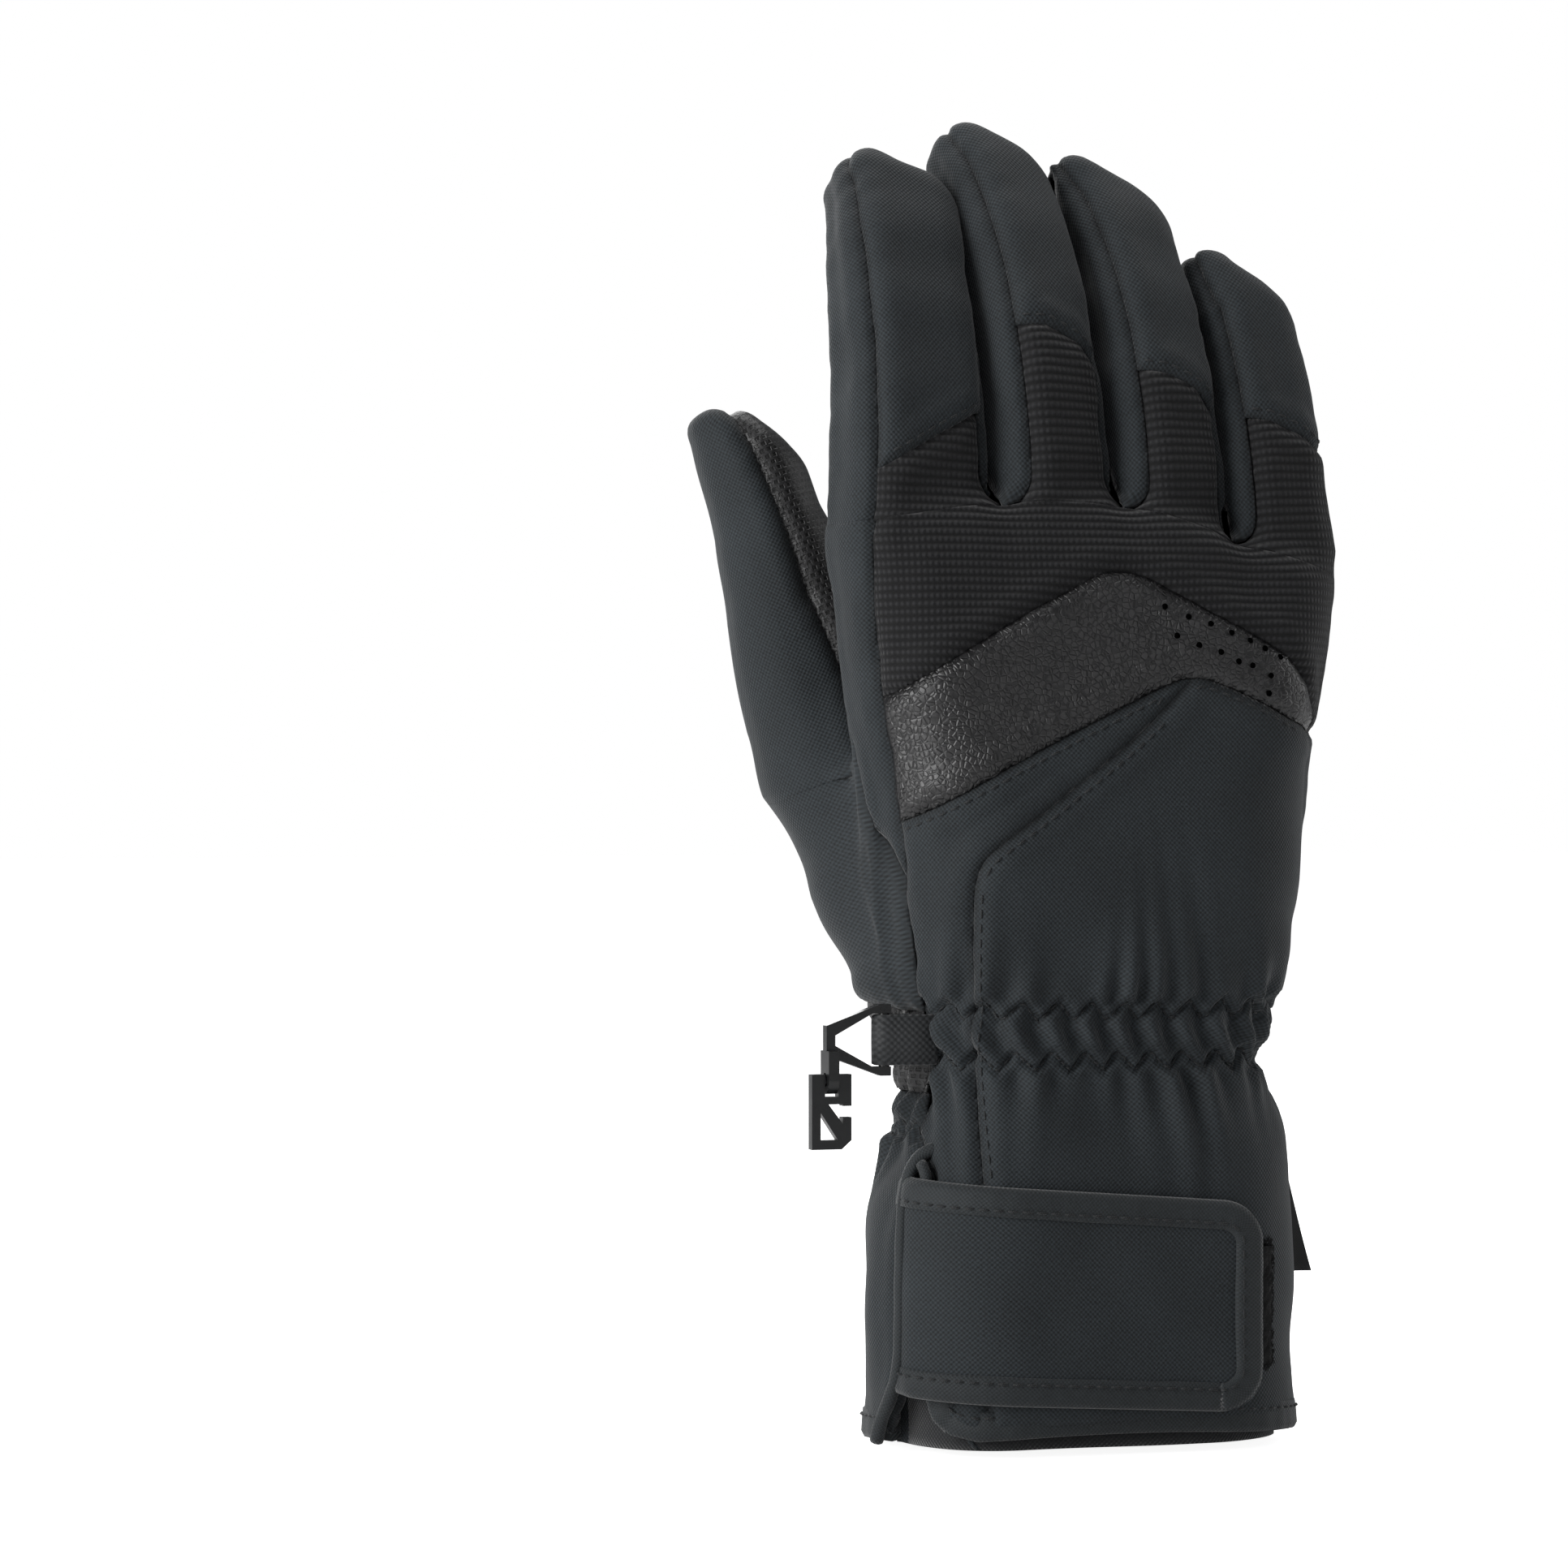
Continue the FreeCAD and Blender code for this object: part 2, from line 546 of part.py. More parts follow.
def add_cuff_loop(sketch, *offset):
    """The cuff's outline, moved out by the sum of the given dimensions, as four arcs and four lines."""
    cx, cy = cuff_corner_term("cuff_width"), cuff_corner_term("cuff_depth")
    radius = term(("cuff_corner", 1), *offset)
    arcs = []
    for turn, (side_x, side_y) in enumerate(((1, 1), (-1, 1), (-1, -1), (1, -1))):
        x = (side_x * cx[0], f"({cx[1]}) * {side_x}")
        y = (side_y * cy[0], f"({cy[1]}) * {side_y}")
        circle = Part.Circle(Vector(x[0], y[0], 0), Vector(0, 0, 1), radius[0])
        at = sketch.addGeometry(Part.ArcOfCircle(circle, turn * math.pi / 2, (turn + 1) * math.pi / 2))
        bind(sketch, "DistanceX", (-1, 1, at, 3), x)
        bind(sketch, "DistanceY", (-1, 1, at, 3), y)
        bind(sketch, "Radius", (at,), radius)
        kinds = ("Horizontal", "Vertical") if turn % 2 == 0 else ("Vertical", "Horizontal")
        sketch.addConstraint(Sketcher.Constraint(kinds[0], at, 3, at, 1))
        sketch.addConstraint(Sketcher.Constraint(kinds[1], at, 3, at, 2))
        arcs.append(at)
    for here, after in zip(arcs, arcs[1:] + arcs[:1]):
        start = sketch.getPoint(here, 2)
        end = sketch.getPoint(after, 1)
        line = sketch.addGeometry(Part.LineSegment(start, end))
        sketch.addConstraint(Sketcher.Constraint("Coincident", line, 1, here, 2))
        sketch.addConstraint(Sketcher.Constraint("Coincident", line, 2, after, 1))


def cuff_corner_term(alias):
    """How far the centre of the cuff's corner lies from its middle, across or from back to palm."""
    return term((alias, 0.5), ("cuff_corner", -1))


def pad(body, name, sketch, length, middle=False):
    """A pad of a bound length, up from its sketch or evenly both ways."""
    feature = body.newObject("PartDesign::Pad", name)
    feature.Profile = sketch
    feature.Midplane = middle
    feature.setExpression("Length", length[1])
    doc.recompute()
    return feature


def pocket_through(body, name, sketch):
    """A pocket right through the body both ways; it stops the build if it cuts nothing."""
    before = body.Shape.Volume
    feature = body.newObject("PartDesign::Pocket", name)
    feature.Profile = sketch
    feature.Midplane = True
    feature.Type = 1
    doc.recompute()
    if body.Shape.Volume > before - 1e-3:
        raise RuntimeError(f"{name} cuts nothing")
    return feature


# ---------------------------------------------------------------------------------- the cuff's trim

def vent_frame():
    """The vent's frame on the cuff's thumb-side corner: out of the cuff along X, to the front along Y."""
    centre = Vector(-cuff_corner_term("cuff_width")[0], -cuff_corner_term("cuff_depth")[0], 0)
    return Placement(centre, Rotation(Vector(0, 0, 1), 180 + size("vent_turn")))


def vent_block():
    """The slit in the cuff, open at the hem and round at its top."""
    half, top = size("vent_width") / 2, size("vent_height") - size("vent_width") / 2
    slit = block((LAP, -half, -LAP), (2 * size("cuff_corner"), half, top))
    crown = Part.makeCylinder(half, 2 * size("cuff_corner") - LAP, Vector(LAP, 0, top), Vector(1, 0, 0))
    slot = slit.fuse(crown)
    slot.Placement = vent_frame()
    return slot


def build_hem():
    """The hem binding: a channel folded round the cuff's lower edge, open at the vent."""
    wall = (("shell_thick", -1), ("cuff_padding", -1), ("lining_thick", -1))
    body = new_body("hem_binding")
    ring = new_sketch(body, "hem_ring", "XY_Plane")
    add_cuff_loop(ring, ("hem_wall", 1))
    add_cuff_loop(ring, *wall, ("hem_wall", -1))
    pad(body, "hem_pad", ring, term(("hem_height", 1)))
    slot = new_sketch(body, "hem_slot", "XY_Plane", term(("hem_floor", 1)))
    add_cuff_loop(slot)
    add_cuff_loop(slot, *wall)
    cut = body.newObject("PartDesign::Pocket", "hem_slot_cut")
    cut.Profile = slot
    cut.Reversed = True
    cut.setExpression("Length", "sizes.hem_height")
    doc.recompute()
    if cut.Shape.Volume > 0.8 * body.Group[1].Shape.Volume:
        raise RuntimeError("the hem's channel is not cut")
    return body


def vent_side(side, out):
    """A bound point beside the vent, out from the corner's centre, for a sketch in the XY plane."""
    cx, cy = cuff_corner_term("cuff_width"), cuff_corner_term("cuff_depth")
    half, turn = size("vent_width") / 2, math.radians(size("vent_turn"))
    x = -cx[0] - out * math.cos(turn) + side * half * math.sin(turn)
    y = -cy[0] - out * math.sin(turn) - side * half * math.cos(turn)
    reach = f"{out} * cos(sizes.vent_turn)"
    words_x = f"-({cx[1]}) - {reach} + {side} * sizes.vent_width / 2 * sin(sizes.vent_turn)"
    words_y = f"-({cy[1]}) - {out} * sin(sizes.vent_turn) - {side} * sizes.vent_width / 2 * cos(sizes.vent_turn)"
    return (x, words_x), (y, words_y)


def cut_hem_at_vent(body):
    """Opens the hem's channel where the vent meets the hem."""
    sketch = new_sketch(body, "hem_vent", "XY_Plane")
    add_outline(sketch, [vent_side(-1, 0), vent_side(-1, 60), vent_side(1, 60), vent_side(1, 0)])
    pocket_through(body, "hem_vent_cut", sketch)


def build_vent():
    """The vent's gusset, behind the slit, and the piping that runs up its edge and over its top."""
    shell, lining = size("shell_thick"), size("lining_thick")
    depth = shell + size("cuff_padding") + lining + size("hem_wall")
    low, high = size("hem_floor"), size("vent_height")
    wall = cuff_block(depth, low, high).cut(cuff_block(depth + size("gusset_thick"), 0, high + LAP))
    reach = size("vent_width") / 2 + size("gusset_lap")
    near = block((0, -reach, -LAP), (2 * size("cuff_corner"), reach, FAR))
    near.Placement = vent_frame()
    room = hand_skin(shell + size("cuff_padding") + lining, shell + size("padding_thick") + lining, LAP)
    piece("vent_gusset", solids_of(wall.common(near).common(room)))

    radius = size("piping_radius")
    out, turn = size("cuff_corner") + size("hem_wall") + radius, size("vent_width") / 2 + radius
    top = high - size("vent_width") / 2
    start, shoulder = Vector(out, -turn, size("hem_floor")), Vector(out, -turn, top)
    crown = Part.Arc(shoulder, Vector(out, 0, top + turn), Vector(out, turn, top)).toShape()
    path = Part.Wire([Part.LineSegment(start, shoulder).toShape(), crown])
    ring = Part.Wire([Part.Circle(start, Vector(0, 0, 1), radius).toShape()])
    piece("vent_piping", solids_of(path.makePipeShell([ring], True, True)), vent_frame())


# ---------------------------------------------------------------------------------- the closure

def strap_offsets(layer):
    """How far out of the cuff a layer of the closure lies: its inner and outer face, as sheet terms."""
    under = (("loop_thick", 1), ("patch_gap", 1))
    hooks = under + (("hook_thick", 1),)
    strap = hooks + (("strap_thick", 1),)
    return {"hook_patch": (under, hooks), "closure_strap": (hooks, strap),
            "strap_edging": (strap, strap + (("edge_thick", 1),))}[layer]


def strap_root():
    """The turn round the cuff's corner at which the strap is sewn on: value and expression."""
    value = size("vent_turn") - math.degrees((size("vent_width") / 2 - size("root_gap")) / size("cuff_corner"))
    words = "(sizes.vent_turn - (sizes.vent_width / 2 - sizes.root_gap) / sizes.cuff_corner * 57.29578)"
    return value, words


def keep_strap(body, name, start, end):
    """Trims a ring round the cuff to what lies between the strap's start and its free end."""
    cx, cy = cuff_corner_term("cuff_width"), cuff_corner_term("cuff_depth")
    corner = ((-cx[0], f"-({cx[1]})"), (-cy[0], f"-({cy[1]})"))
    sketch = new_sketch(body, name, "XY_Plane")
    far, near = number(FAR), number(-FAR)
    if start is None:
        turn, words = strap_root()
        ray = (corner[0][0] - FAR * math.cos(math.radians(turn)), f"{corner[0][1]} - {FAR} * cos({words})")
        ray_y = (corner[1][0] - FAR * math.sin(math.radians(turn)), f"{corner[1][1]} - {FAR} * sin({words})")
        loop = [corner, (ray, ray_y), (number(-2 * FAR), far), (far, far), (far, near), (end, near),
                (end, corner[1])]
    else:
        loop = [(start, corner[1]), (start, near), (near, near), (near, far), (far, far), (far, near),
                (end, near), (end, corner[1])]
    add_outline(sketch, loop)
    pocket_through(body, name + "_cut", sketch)


def strap_layer(label, low, height, end, start=None):
    """One layer of the closure: a ring that follows the cuff, trimmed to length."""
    inner, outer = strap_offsets(label)
    body = new_body(label)
    ring = new_sketch(body, label + "_ring", "XY_Plane", low)
    add_cuff_loop(ring, *outer)
    add_cuff_loop(ring, *inner)
    pad(body, label + "_pad", ring, height)
    keep_strap(body, label + "_trim", start, end)
    return body


def round_end(body, name, end, level, upward):
    """Rounds one corner of a strap layer's free end: upward is 1 at its lower edge and -1 at its upper."""
    corner, past = term(("strap_corner", 1)), 10.0
    cx = (end[0] - corner[0], f"{end[1]} - {corner[1]}")
    cy = (level[0] + upward * corner[0], f"{level[1]} + {upward} * {corner[1]}")
    out_x = (end[0] + past, f"{end[1]} + {past}")
    out_y = (level[0] - upward * past, f"{level[1]} - {upward * past}")
    sketch = new_sketch(body, name, "XZ_Plane")
    circle = Part.Circle(Vector(cx[0], cy[0], 0), Vector(0, 0, 1), corner[0])
    turns = (-math.pi / 2, 0) if upward > 0 else (0, math.pi / 2)
    arc = sketch.addGeometry(Part.ArcOfCircle(circle, *turns))
    bind(sketch, "DistanceX", (-1, 1, arc, 3), cx)
    bind(sketch, "DistanceY", (-1, 1, arc, 3), cy)
    bind(sketch, "Radius", (arc,), corner)
    under, beside = (1, 2) if upward > 0 else (2, 1)
    sketch.addConstraint(Sketcher.Constraint("Vertical", arc, 3, arc, under))
    sketch.addConstraint(Sketcher.Constraint("Horizontal", arc, 3, arc, beside))
    stops = [(out_x, cy), (out_x, out_y), (cx, out_y)]
    points = [Vector(end[0], cy[0], 0)] + [Vector(x[0], y[0], 0) for x, y in stops]
    points.append(Vector(cx[0], level[0], 0))
    first = sketch.GeometryCount
    for here, after in zip(points, points[1:]):
        sketch.addGeometry(Part.LineSegment(here, after))
    sketch.addConstraint(Sketcher.Constraint("Coincident", first, 1, arc, beside))
    for i, (x, y) in enumerate(stops):
        sketch.addConstraint(Sketcher.Constraint("Coincident", first + i, 2, first + i + 1, 1))
        bind(sketch, "DistanceX", (-1, 1, first + i, 2), x)
        bind(sketch, "DistanceY", (-1, 1, first + i, 2), y)
    sketch.addConstraint(Sketcher.Constraint("Coincident", first + 3, 2, arc, under))
    pocket_through(body, name + "_cut", sketch)


def build_strap():
    """The closure strap, its sewn edging, and the hook patch behind its end."""
    low, height, end = term(("strap_low", 1)), term(("strap_height", 1)), term(("strap_end", 1))
    body = strap_layer("closure_strap", low, height, end)
    high = term(("strap_low", 1), ("strap_height", 1))
    round_end(body, "strap_low_corner", end, low, 1)
    round_end(body, "strap_high_corner", end, high, -1)

    edging = strap_layer("strap_edging", low, height, end)
    round_end(edging, "edging_low_corner", end, low, 1)
    round_end(edging, "edging_high_corner", end, high, -1)
    field = new_sketch(edging, "strap_field", "XZ_Plane")
    right = term(("strap_end", 1), ("strap_edge", -1))
    lower, upper = term(("strap_low", 1), ("strap_edge", 1)), term(("strap_low", 1), ("strap_height", 1),
                                                                    ("strap_edge", -1))
    cut = term(("strap_end", 1), ("strap_corner", -1))
    low_cut = term(("strap_low", 1), ("strap_corner", 1))
    high_cut = term(("strap_low", 1), ("strap_height", 1), ("strap_corner", -1))
    add_outline(field, [(number(-FAR), lower), (cut, lower), (right, low_cut), (right, high_cut), (cut, upper),
                        (number(-FAR), upper)])
    pocket_through(edging, "strap_field_cut", field)

    hook_low = term(("strap_low", 1), ("strap_height", 0.5), ("hook_height", -0.5))
    hook_end = term(("strap_end", 1), ("strap_edge", -0.5))
    hook_start = term(("strap_end", 1), ("strap_edge", -0.5), ("hook_length", -1))
    strap_layer("hook_patch", hook_low, term(("hook_height", 1)), hook_end, hook_start)


def build_loop_patch():
    """The loop patch sewn on the cuff's front under the strap's end."""
    body = new_body("loop_patch")
    ring = new_sketch(body, "loop_patch_ring", "XY_Plane", term(("loop_low", 1)))
    add_cuff_loop(ring, ("loop_thick", 1))
    add_cuff_loop(ring)
    pad(body, "loop_patch_pad", ring, term(("loop_height", 1)))
    keep_strap(body, "loop_patch_trim", term(("loop_left", 1)), term(("loop_right", 1)))


def build_label():
    """The woven label, a tab whose inner edge is caught in the side seam."""
    zero = term(("label_height", 0))
    tuck, reach = term(("label_tuck", -1)), term(("label_reach", 1))
    top, high = term(("label_top", 1)), term(("label_height", 1))
    body = new_body("side_label")
    sketch = new_sketch(body, "side_label_outline", "XZ_Plane")
    add_outline(sketch, [(tuck, zero), (reach, zero), (top, high), (tuck, high)])
    pad(body, "side_label_pad", sketch, term(("label_thick", 1)), True)
    side = size("cuff_width") / 2 + size("label_tuck")
    body.Placement = Placement(Vector(side, 0, size("label_low")), Rotation())


# ---------------------------------------------------------------------------------- the webbing and clip

def clip_place():
    """Where the middle of the clip's bar lies: out of the wrist on the thumb side."""
    out = size("wrist_width") / 2 + size("web_reach")
    return Vector(-out, size("web_y"), size("web_z"))


def build_webbing():
    """The webbing loop: both ends sewn to the wrist, folded round the ring's bar."""
    bar, high = clip_place(), size("web_height")
    inner = size("bar_radius") + size("clip_gap")
    outer, low = inner + size("web_thick"), bar.z - high / 2
    base = Vector(bar.x, bar.y, low)
    drum = Part.makeCylinder(outer, high, base)
    run = block((bar.x, bar.y - outer, low), (-size("wrist_width") / 4, bar.y + outer, low + high))
    hollow = Part.makeCylinder(inner, high + 2 * LAP, base - Vector(0, 0, LAP))
    slot = block((bar.x, bar.y - inner, low - LAP), (0, bar.y + inner, low + high + LAP))
    loop = drum.fuse(run).cut(hollow).cut(slot).cut(hand_skin(0, 0, LAP))
    piece("webbing_loop", solids_of(loop))


def build_ring():
    """The clip's ring: a bar for the webbing, two arms to the nose, and the lug that carries the hook."""
    half_hole = (("web_height", 0.5), ("clip_gap", 1))
    half_out = half_hole + (("ring_rim", 1),)
    below = [tuple((alias, -factor) for alias, factor in group) for group in (half_hole, half_out)]
    inner_x, outer_x, reach = term(("bar_radius", -1)), term(("bar_radius", 1)), term(("ring_reach", -1))
    nose_in = term(("ring_reach", -1), ("ring_rim", 1))
    clear_x = term(("bar_radius", -1), ("clip_gap", -2), ("web_thick", -1))
    nose_top, nose_low = term(("ring_nose", 0.5), ("ring_rim", 0.5)), term(("ring_nose", -0.5),
                                                                          ("ring_rim", -0.5))
    body = new_body("clip_ring")
    sketch = new_sketch(body, "clip_ring_outline", "XZ_Plane")
    add_outline(sketch, [(outer_x, term(*half_out)), (inner_x, term(*half_out)), (reach, nose_top),
                         (reach, nose_low), (inner_x, term(*below[1])), (outer_x, term(*below[1])),
                         (outer_x, term(*below[0])), (clear_x, term(*below[0])),
                         (nose_in, term(("ring_nose", -0.25))), (nose_in, term(("ring_nose", 0.25))),
                         (clear_x, term(*half_hole)), (outer_x, term(*half_hole))])
    pad(body, "clip_ring_pad", sketch, term(("ring_thick", 1)), True)
    bar = new_sketch(body, "clip_bar", "XY_Plane")
    add_circle(bar, number(0.0), number(0.0), term(("bar_radius", 1)))
    pad(body, "clip_bar_pad", bar, term(("web_height", 1), ("clip_gap", 2), ("ring_rim", 1)), True)
    lug = new_sketch(body, "clip_lug_outline", "XZ_Plane")
    lug_right = term(("ring_reach", -1), ("lug_thick", 1))
    add_outline(lug, [(reach, term(("ring_nose", -0.5))), (reach, term(("lug_drop", -1))),
                      (lug_right, term(("lug_drop", -1))), (lug_right, term(("ring_nose", -0.5)))])
    pad(body, "clip_lug_pad", lug, term(("lug_radius", 2)), True)
    lobe = new_sketch(body, "clip_lobe", "YZ_Plane", term(("ring_reach", -1), ("lug_thick", 0.5)))
    add_circle(lobe, number(0.0), term(("lug_drop", -1)), term(("lug_radius", 1)))
    pad(body, "clip_lobe_pad", lobe, term(("lug_thick", 1)), True)
    eye = new_sketch(body, "clip_eye", "YZ_Plane", term(("ring_reach", -1), ("lug_thick", 0.5)))
    add_circle(eye, number(0.0), term(("lug_drop", -1)), term(("pin_radius", 1), ("clip_gap", 1)))
    before = body.Shape.Volume
    cut = body.newObject("PartDesign::Pocket", "clip_eye_cut")
    cut.Profile = eye
    cut.Midplane = True
    cut.setExpression("Length", "sizes.lug_thick * 1.6")
    doc.recompute()
    if body.Shape.Volume > before - 1:
        raise RuntimeError("the clip's eye is not cut")
    body.Placement = Placement(clip_place(), Rotation())


def build_hook():
    """The clip's hook: a pin across its top in the ring's lug, a frame with a tongue, and a gate."""
    half, inner = ("hook_width", 0.5), (("hook_width", 0.5), ("hook_rim", -1))
    left_in = (("hook_width", -0.5), ("hook_rim", 1))
    slot = (("lug_thick", 0.5), ("clip_gap", 1))
    top, neck = term(("pin_radius", 1)), term(("lug_radius", -1), ("clip_gap", -2))
    right, left = term(half), term(("hook_width", -0.5))
    low, shoulder = term(("hook_drop", -1)), term(("hook_drop", -1), ("hook_rim", 1))
    body = new_body("clip_hook")
    sketch = new_sketch(body, "clip_hook_outline", "XZ_Plane")
    slot_left = term(("lug_thick", -0.5), ("clip_gap", -1))
    add_outline(sketch, [(left, top), (slot_left, top), (slot_left, neck), (term(*slot), neck),
                         (term(*slot), top), (right, top), (right, shoulder),
                         (term(("hook_width", 0.25)), low), (left, low)])
    window_top = term(("hook_neck", -1))
    tongue = (("hook_drop", -1), ("hook_rim", 1))
    add_outline(sketch, [(term(("hook_width", -0.5), ("hook_rim", 1), ("tongue_width", 1)), window_top),
                         (term(*inner), window_top), (term(*inner), term(*tongue, ("tongue_width", 2)))])
    add_outline(sketch, [(term(*left_in), term(("hook_neck", -1), ("tongue_width", -1))),
                         (term(("hook_width", 0.5), ("hook_rim", -1), ("tongue_width", -0.6)),
                          term(*tongue)),
                         (term(*left_in), term(*tongue))])
    pad(body, "clip_hook_pad", sketch, term(("hook_bar", 1)), True)
    gate = new_sketch(body, "clip_gate", "XZ_Plane")
    gate_top = term(("hook_neck", -1), ("hook_rim", -0.2))
    gate_low = term(("hook_neck", -1), ("hook_rim", -0.2), ("hook_gate", -1))
    add_outline(gate, [(term(*inner, ("hook_rim", -0.1)), gate_top), (number(20.0), gate_top),
                       (number(20.0), gate_low), (term(*inner, ("hook_rim", -0.1)), gate_low)])
    pocket_through(body, "clip_gate_cut", gate)
    pin = new_sketch(body, "clip_pin", "YZ_Plane")
    add_circle(pin, number(0.0), number(0.0), term(("pin_radius", 1)))
    pad(body, "clip_pin_pad", pin, term(("hook_width", 1), ("hook_rim", -1)), True)
    middle = size("ring_reach") - size("lug_thick") / 2
    body.Placement = Placement(clip_place() - Vector(middle, 0, size("lug_drop")), Rotation())


def main():
    fill_sheet()
    build_hand()
    for name in FINGERS:
        build_finger(name)
    build_thumb()
    cut_hem_at_vent(build_hem())
    build_vent()
    build_strap()
    build_loop_patch()
    build_label()
    build_webbing()
    build_ring()
    build_hook()
    doc.recompute()


def sub_parts():
    """The document's sub-parts: each body and each feature that stands alone."""
    kinds = ("PartDesign::Body", "Part::Feature")
    return [o for o in doc.Objects if o.TypeId in kinds]


def check_and_write():
    """Stops on a failed object or a bad shape, then writes each sub-part to its STEP file."""
    failed = [o.Name for o in doc.Objects if set(o.State) & {"Invalid", "Error"}]
    if failed:
        raise RuntimeError(f"these objects failed: {failed}")
    os.makedirs(OUT, exist_ok=True)
    for part in sub_parts():
        shape = part.Shape
        if shape.isNull() or not shape.Solids or not shape.isValid():
            raise RuntimeError(f"{part.Label} has no valid solid")
        shape.exportStep(os.path.join(OUT, part.Label + ".step"))


main()
check_and_write()
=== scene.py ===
"""A right-hand ski glove standing on its cuff: softshell and knit back, leather palm, strap and clip."""
import math
import bmesh
import bpy
import numpy as np
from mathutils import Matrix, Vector
from mathutils.bvhtree import BVHTree
from mathutils.kdtree import KDTree


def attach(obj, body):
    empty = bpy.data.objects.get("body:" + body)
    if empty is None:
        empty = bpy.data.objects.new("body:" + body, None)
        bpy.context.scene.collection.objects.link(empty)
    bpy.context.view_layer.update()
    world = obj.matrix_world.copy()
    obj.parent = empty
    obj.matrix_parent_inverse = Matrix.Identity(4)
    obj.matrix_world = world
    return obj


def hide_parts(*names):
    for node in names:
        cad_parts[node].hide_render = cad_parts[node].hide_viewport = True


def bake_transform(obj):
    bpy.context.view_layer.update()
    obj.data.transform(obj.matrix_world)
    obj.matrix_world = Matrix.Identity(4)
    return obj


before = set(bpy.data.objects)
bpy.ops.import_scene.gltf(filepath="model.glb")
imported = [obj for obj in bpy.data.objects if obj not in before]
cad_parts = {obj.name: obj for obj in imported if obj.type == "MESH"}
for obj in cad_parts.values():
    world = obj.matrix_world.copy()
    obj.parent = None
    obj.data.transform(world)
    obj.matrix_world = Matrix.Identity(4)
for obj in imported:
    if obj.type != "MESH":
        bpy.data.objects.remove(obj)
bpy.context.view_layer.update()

# ------------------------------------------------------------------------------------------ the studio
# A plain white studio: a pale floor, soft boxes on the thumb side, in front and above, and a camera
# level with the middle of the glove, turned a little to the thumb side of its back.
MM = 0.001
CAMERA_TURN = math.radians(-17.0)
CAMERA_AWAY_MM = 1150.0
CAMERA_ASIDE_MM = 65.5
CAMERA_LEVEL_MM = 145.6
LENS_MM = 119.0
FLOOR_HEX = "f4f4f4"
FLOOR_DROP = 0.0004
WORLD_LIGHT = 0.17


def linear(hex_colour):
    """An sRGB hex colour as linear red, green and blue, with alpha 1."""
    parts = [int(hex_colour[i:i + 2], 16) / 255 for i in (0, 2, 4)]
    return tuple(c / 12.92 if c <= 0.04045 else ((c + 0.055) / 1.055) ** 2.4 for c in parts) + (1.0,)


def blank_finish(name):
    """A new material with an empty node tree."""
    finish = bpy.data.materials.new(name)
    finish.use_nodes = True
    finish.node_tree.nodes.clear()
    return finish, finish.node_tree


def add(tree, kind, sockets=None, **settings):
    """Adds a node. The settings go on the node; sockets hold values, or outputs to link, for its inputs."""
    made = tree.nodes.new("ShaderNode" + kind)
    for key, value in settings.items():
        setattr(made, key, value)
    for key, value in (sockets or {}).items():
        if isinstance(value, bpy.types.NodeSocket):
            tree.links.new(value, made.inputs[key])
        else:
            made.inputs[key].default_value = value
    return made


def soft_box(name, place, aim, width, height, power):
    """One studio soft box."""
    lamp = bpy.data.lights.new(name, "AREA")
    lamp.shape = "RECTANGLE"
    lamp.size = width
    lamp.size_y = height
    lamp.energy = power
    holder = bpy.data.objects.new(name, lamp)
    bpy.context.scene.collection.objects.link(holder)
    holder.location = place
    holder.rotation_euler = (Vector(aim) - Vector(place)).to_track_quat("-Z", "Y").to_euler()


back_way = np.array([math.sin(CAMERA_TURN), -math.cos(CAMERA_TURN), 0.0])
right_way = np.array([math.cos(CAMERA_TURN), math.sin(CAMERA_TURN), 0.0])
stand = back_way * CAMERA_AWAY_MM - right_way * CAMERA_ASIDE_MM + np.array([0.0, 0.0, CAMERA_LEVEL_MM])
lens = bpy.data.cameras.new("studio_camera")
lens.sensor_width = 36.0
lens.lens = LENS_MM
camera = bpy.data.objects.new("studio_camera", lens)
bpy.context.scene.collection.objects.link(camera)
camera.location = Vector(stand * MM)
camera.rotation_euler = Vector(-back_way).to_track_quat("-Z", "Y").to_euler()
bpy.context.scene.camera = camera
bpy.context.scene.view_settings.view_transform = "Standard"

soft_box("thumb_side_box", (-1.1, -0.35, 0.45), (0.0, 0.0, 0.15), 0.7, 1.1, 20.0)
soft_box("front_box", (0.45, -1.5, 0.75), (0.0, 0.0, 0.14), 0.9, 0.9, 2.6)
soft_box("top_box", (0.1, 0.25, 1.2), (0.0, 0.0, 0.15), 0.9, 0.7, 6.0)
soft_box("little_side_box", (1.1, 0.1, 0.4), (0.0, 0.0, 0.15), 0.5, 1.0, 2.5)
soft_box("palm_side_box", (-0.1, 1.4, 0.7), (0.0, 0.0, 0.14), 0.9, 0.9, 10.0)

world = bpy.data.worlds.new("studio_world")
bpy.context.scene.world = world
world.use_nodes = True
sky = world.node_tree
sky.nodes.clear()
rays = add(sky, "LightPath")
dim = add(sky, "Background", {"Color": linear("f0f2f5"), "Strength": WORLD_LIGHT})
white = add(sky, "Background", {"Color": (1.0, 1.0, 1.0, 1.0), "Strength": 1.0})
mixed = add(sky, "MixShader", {0: rays.outputs["Is Camera Ray"], 1: dim.outputs[0], 2: white.outputs[0]})
add(sky, "OutputWorld", {"Surface": mixed.outputs[0]})

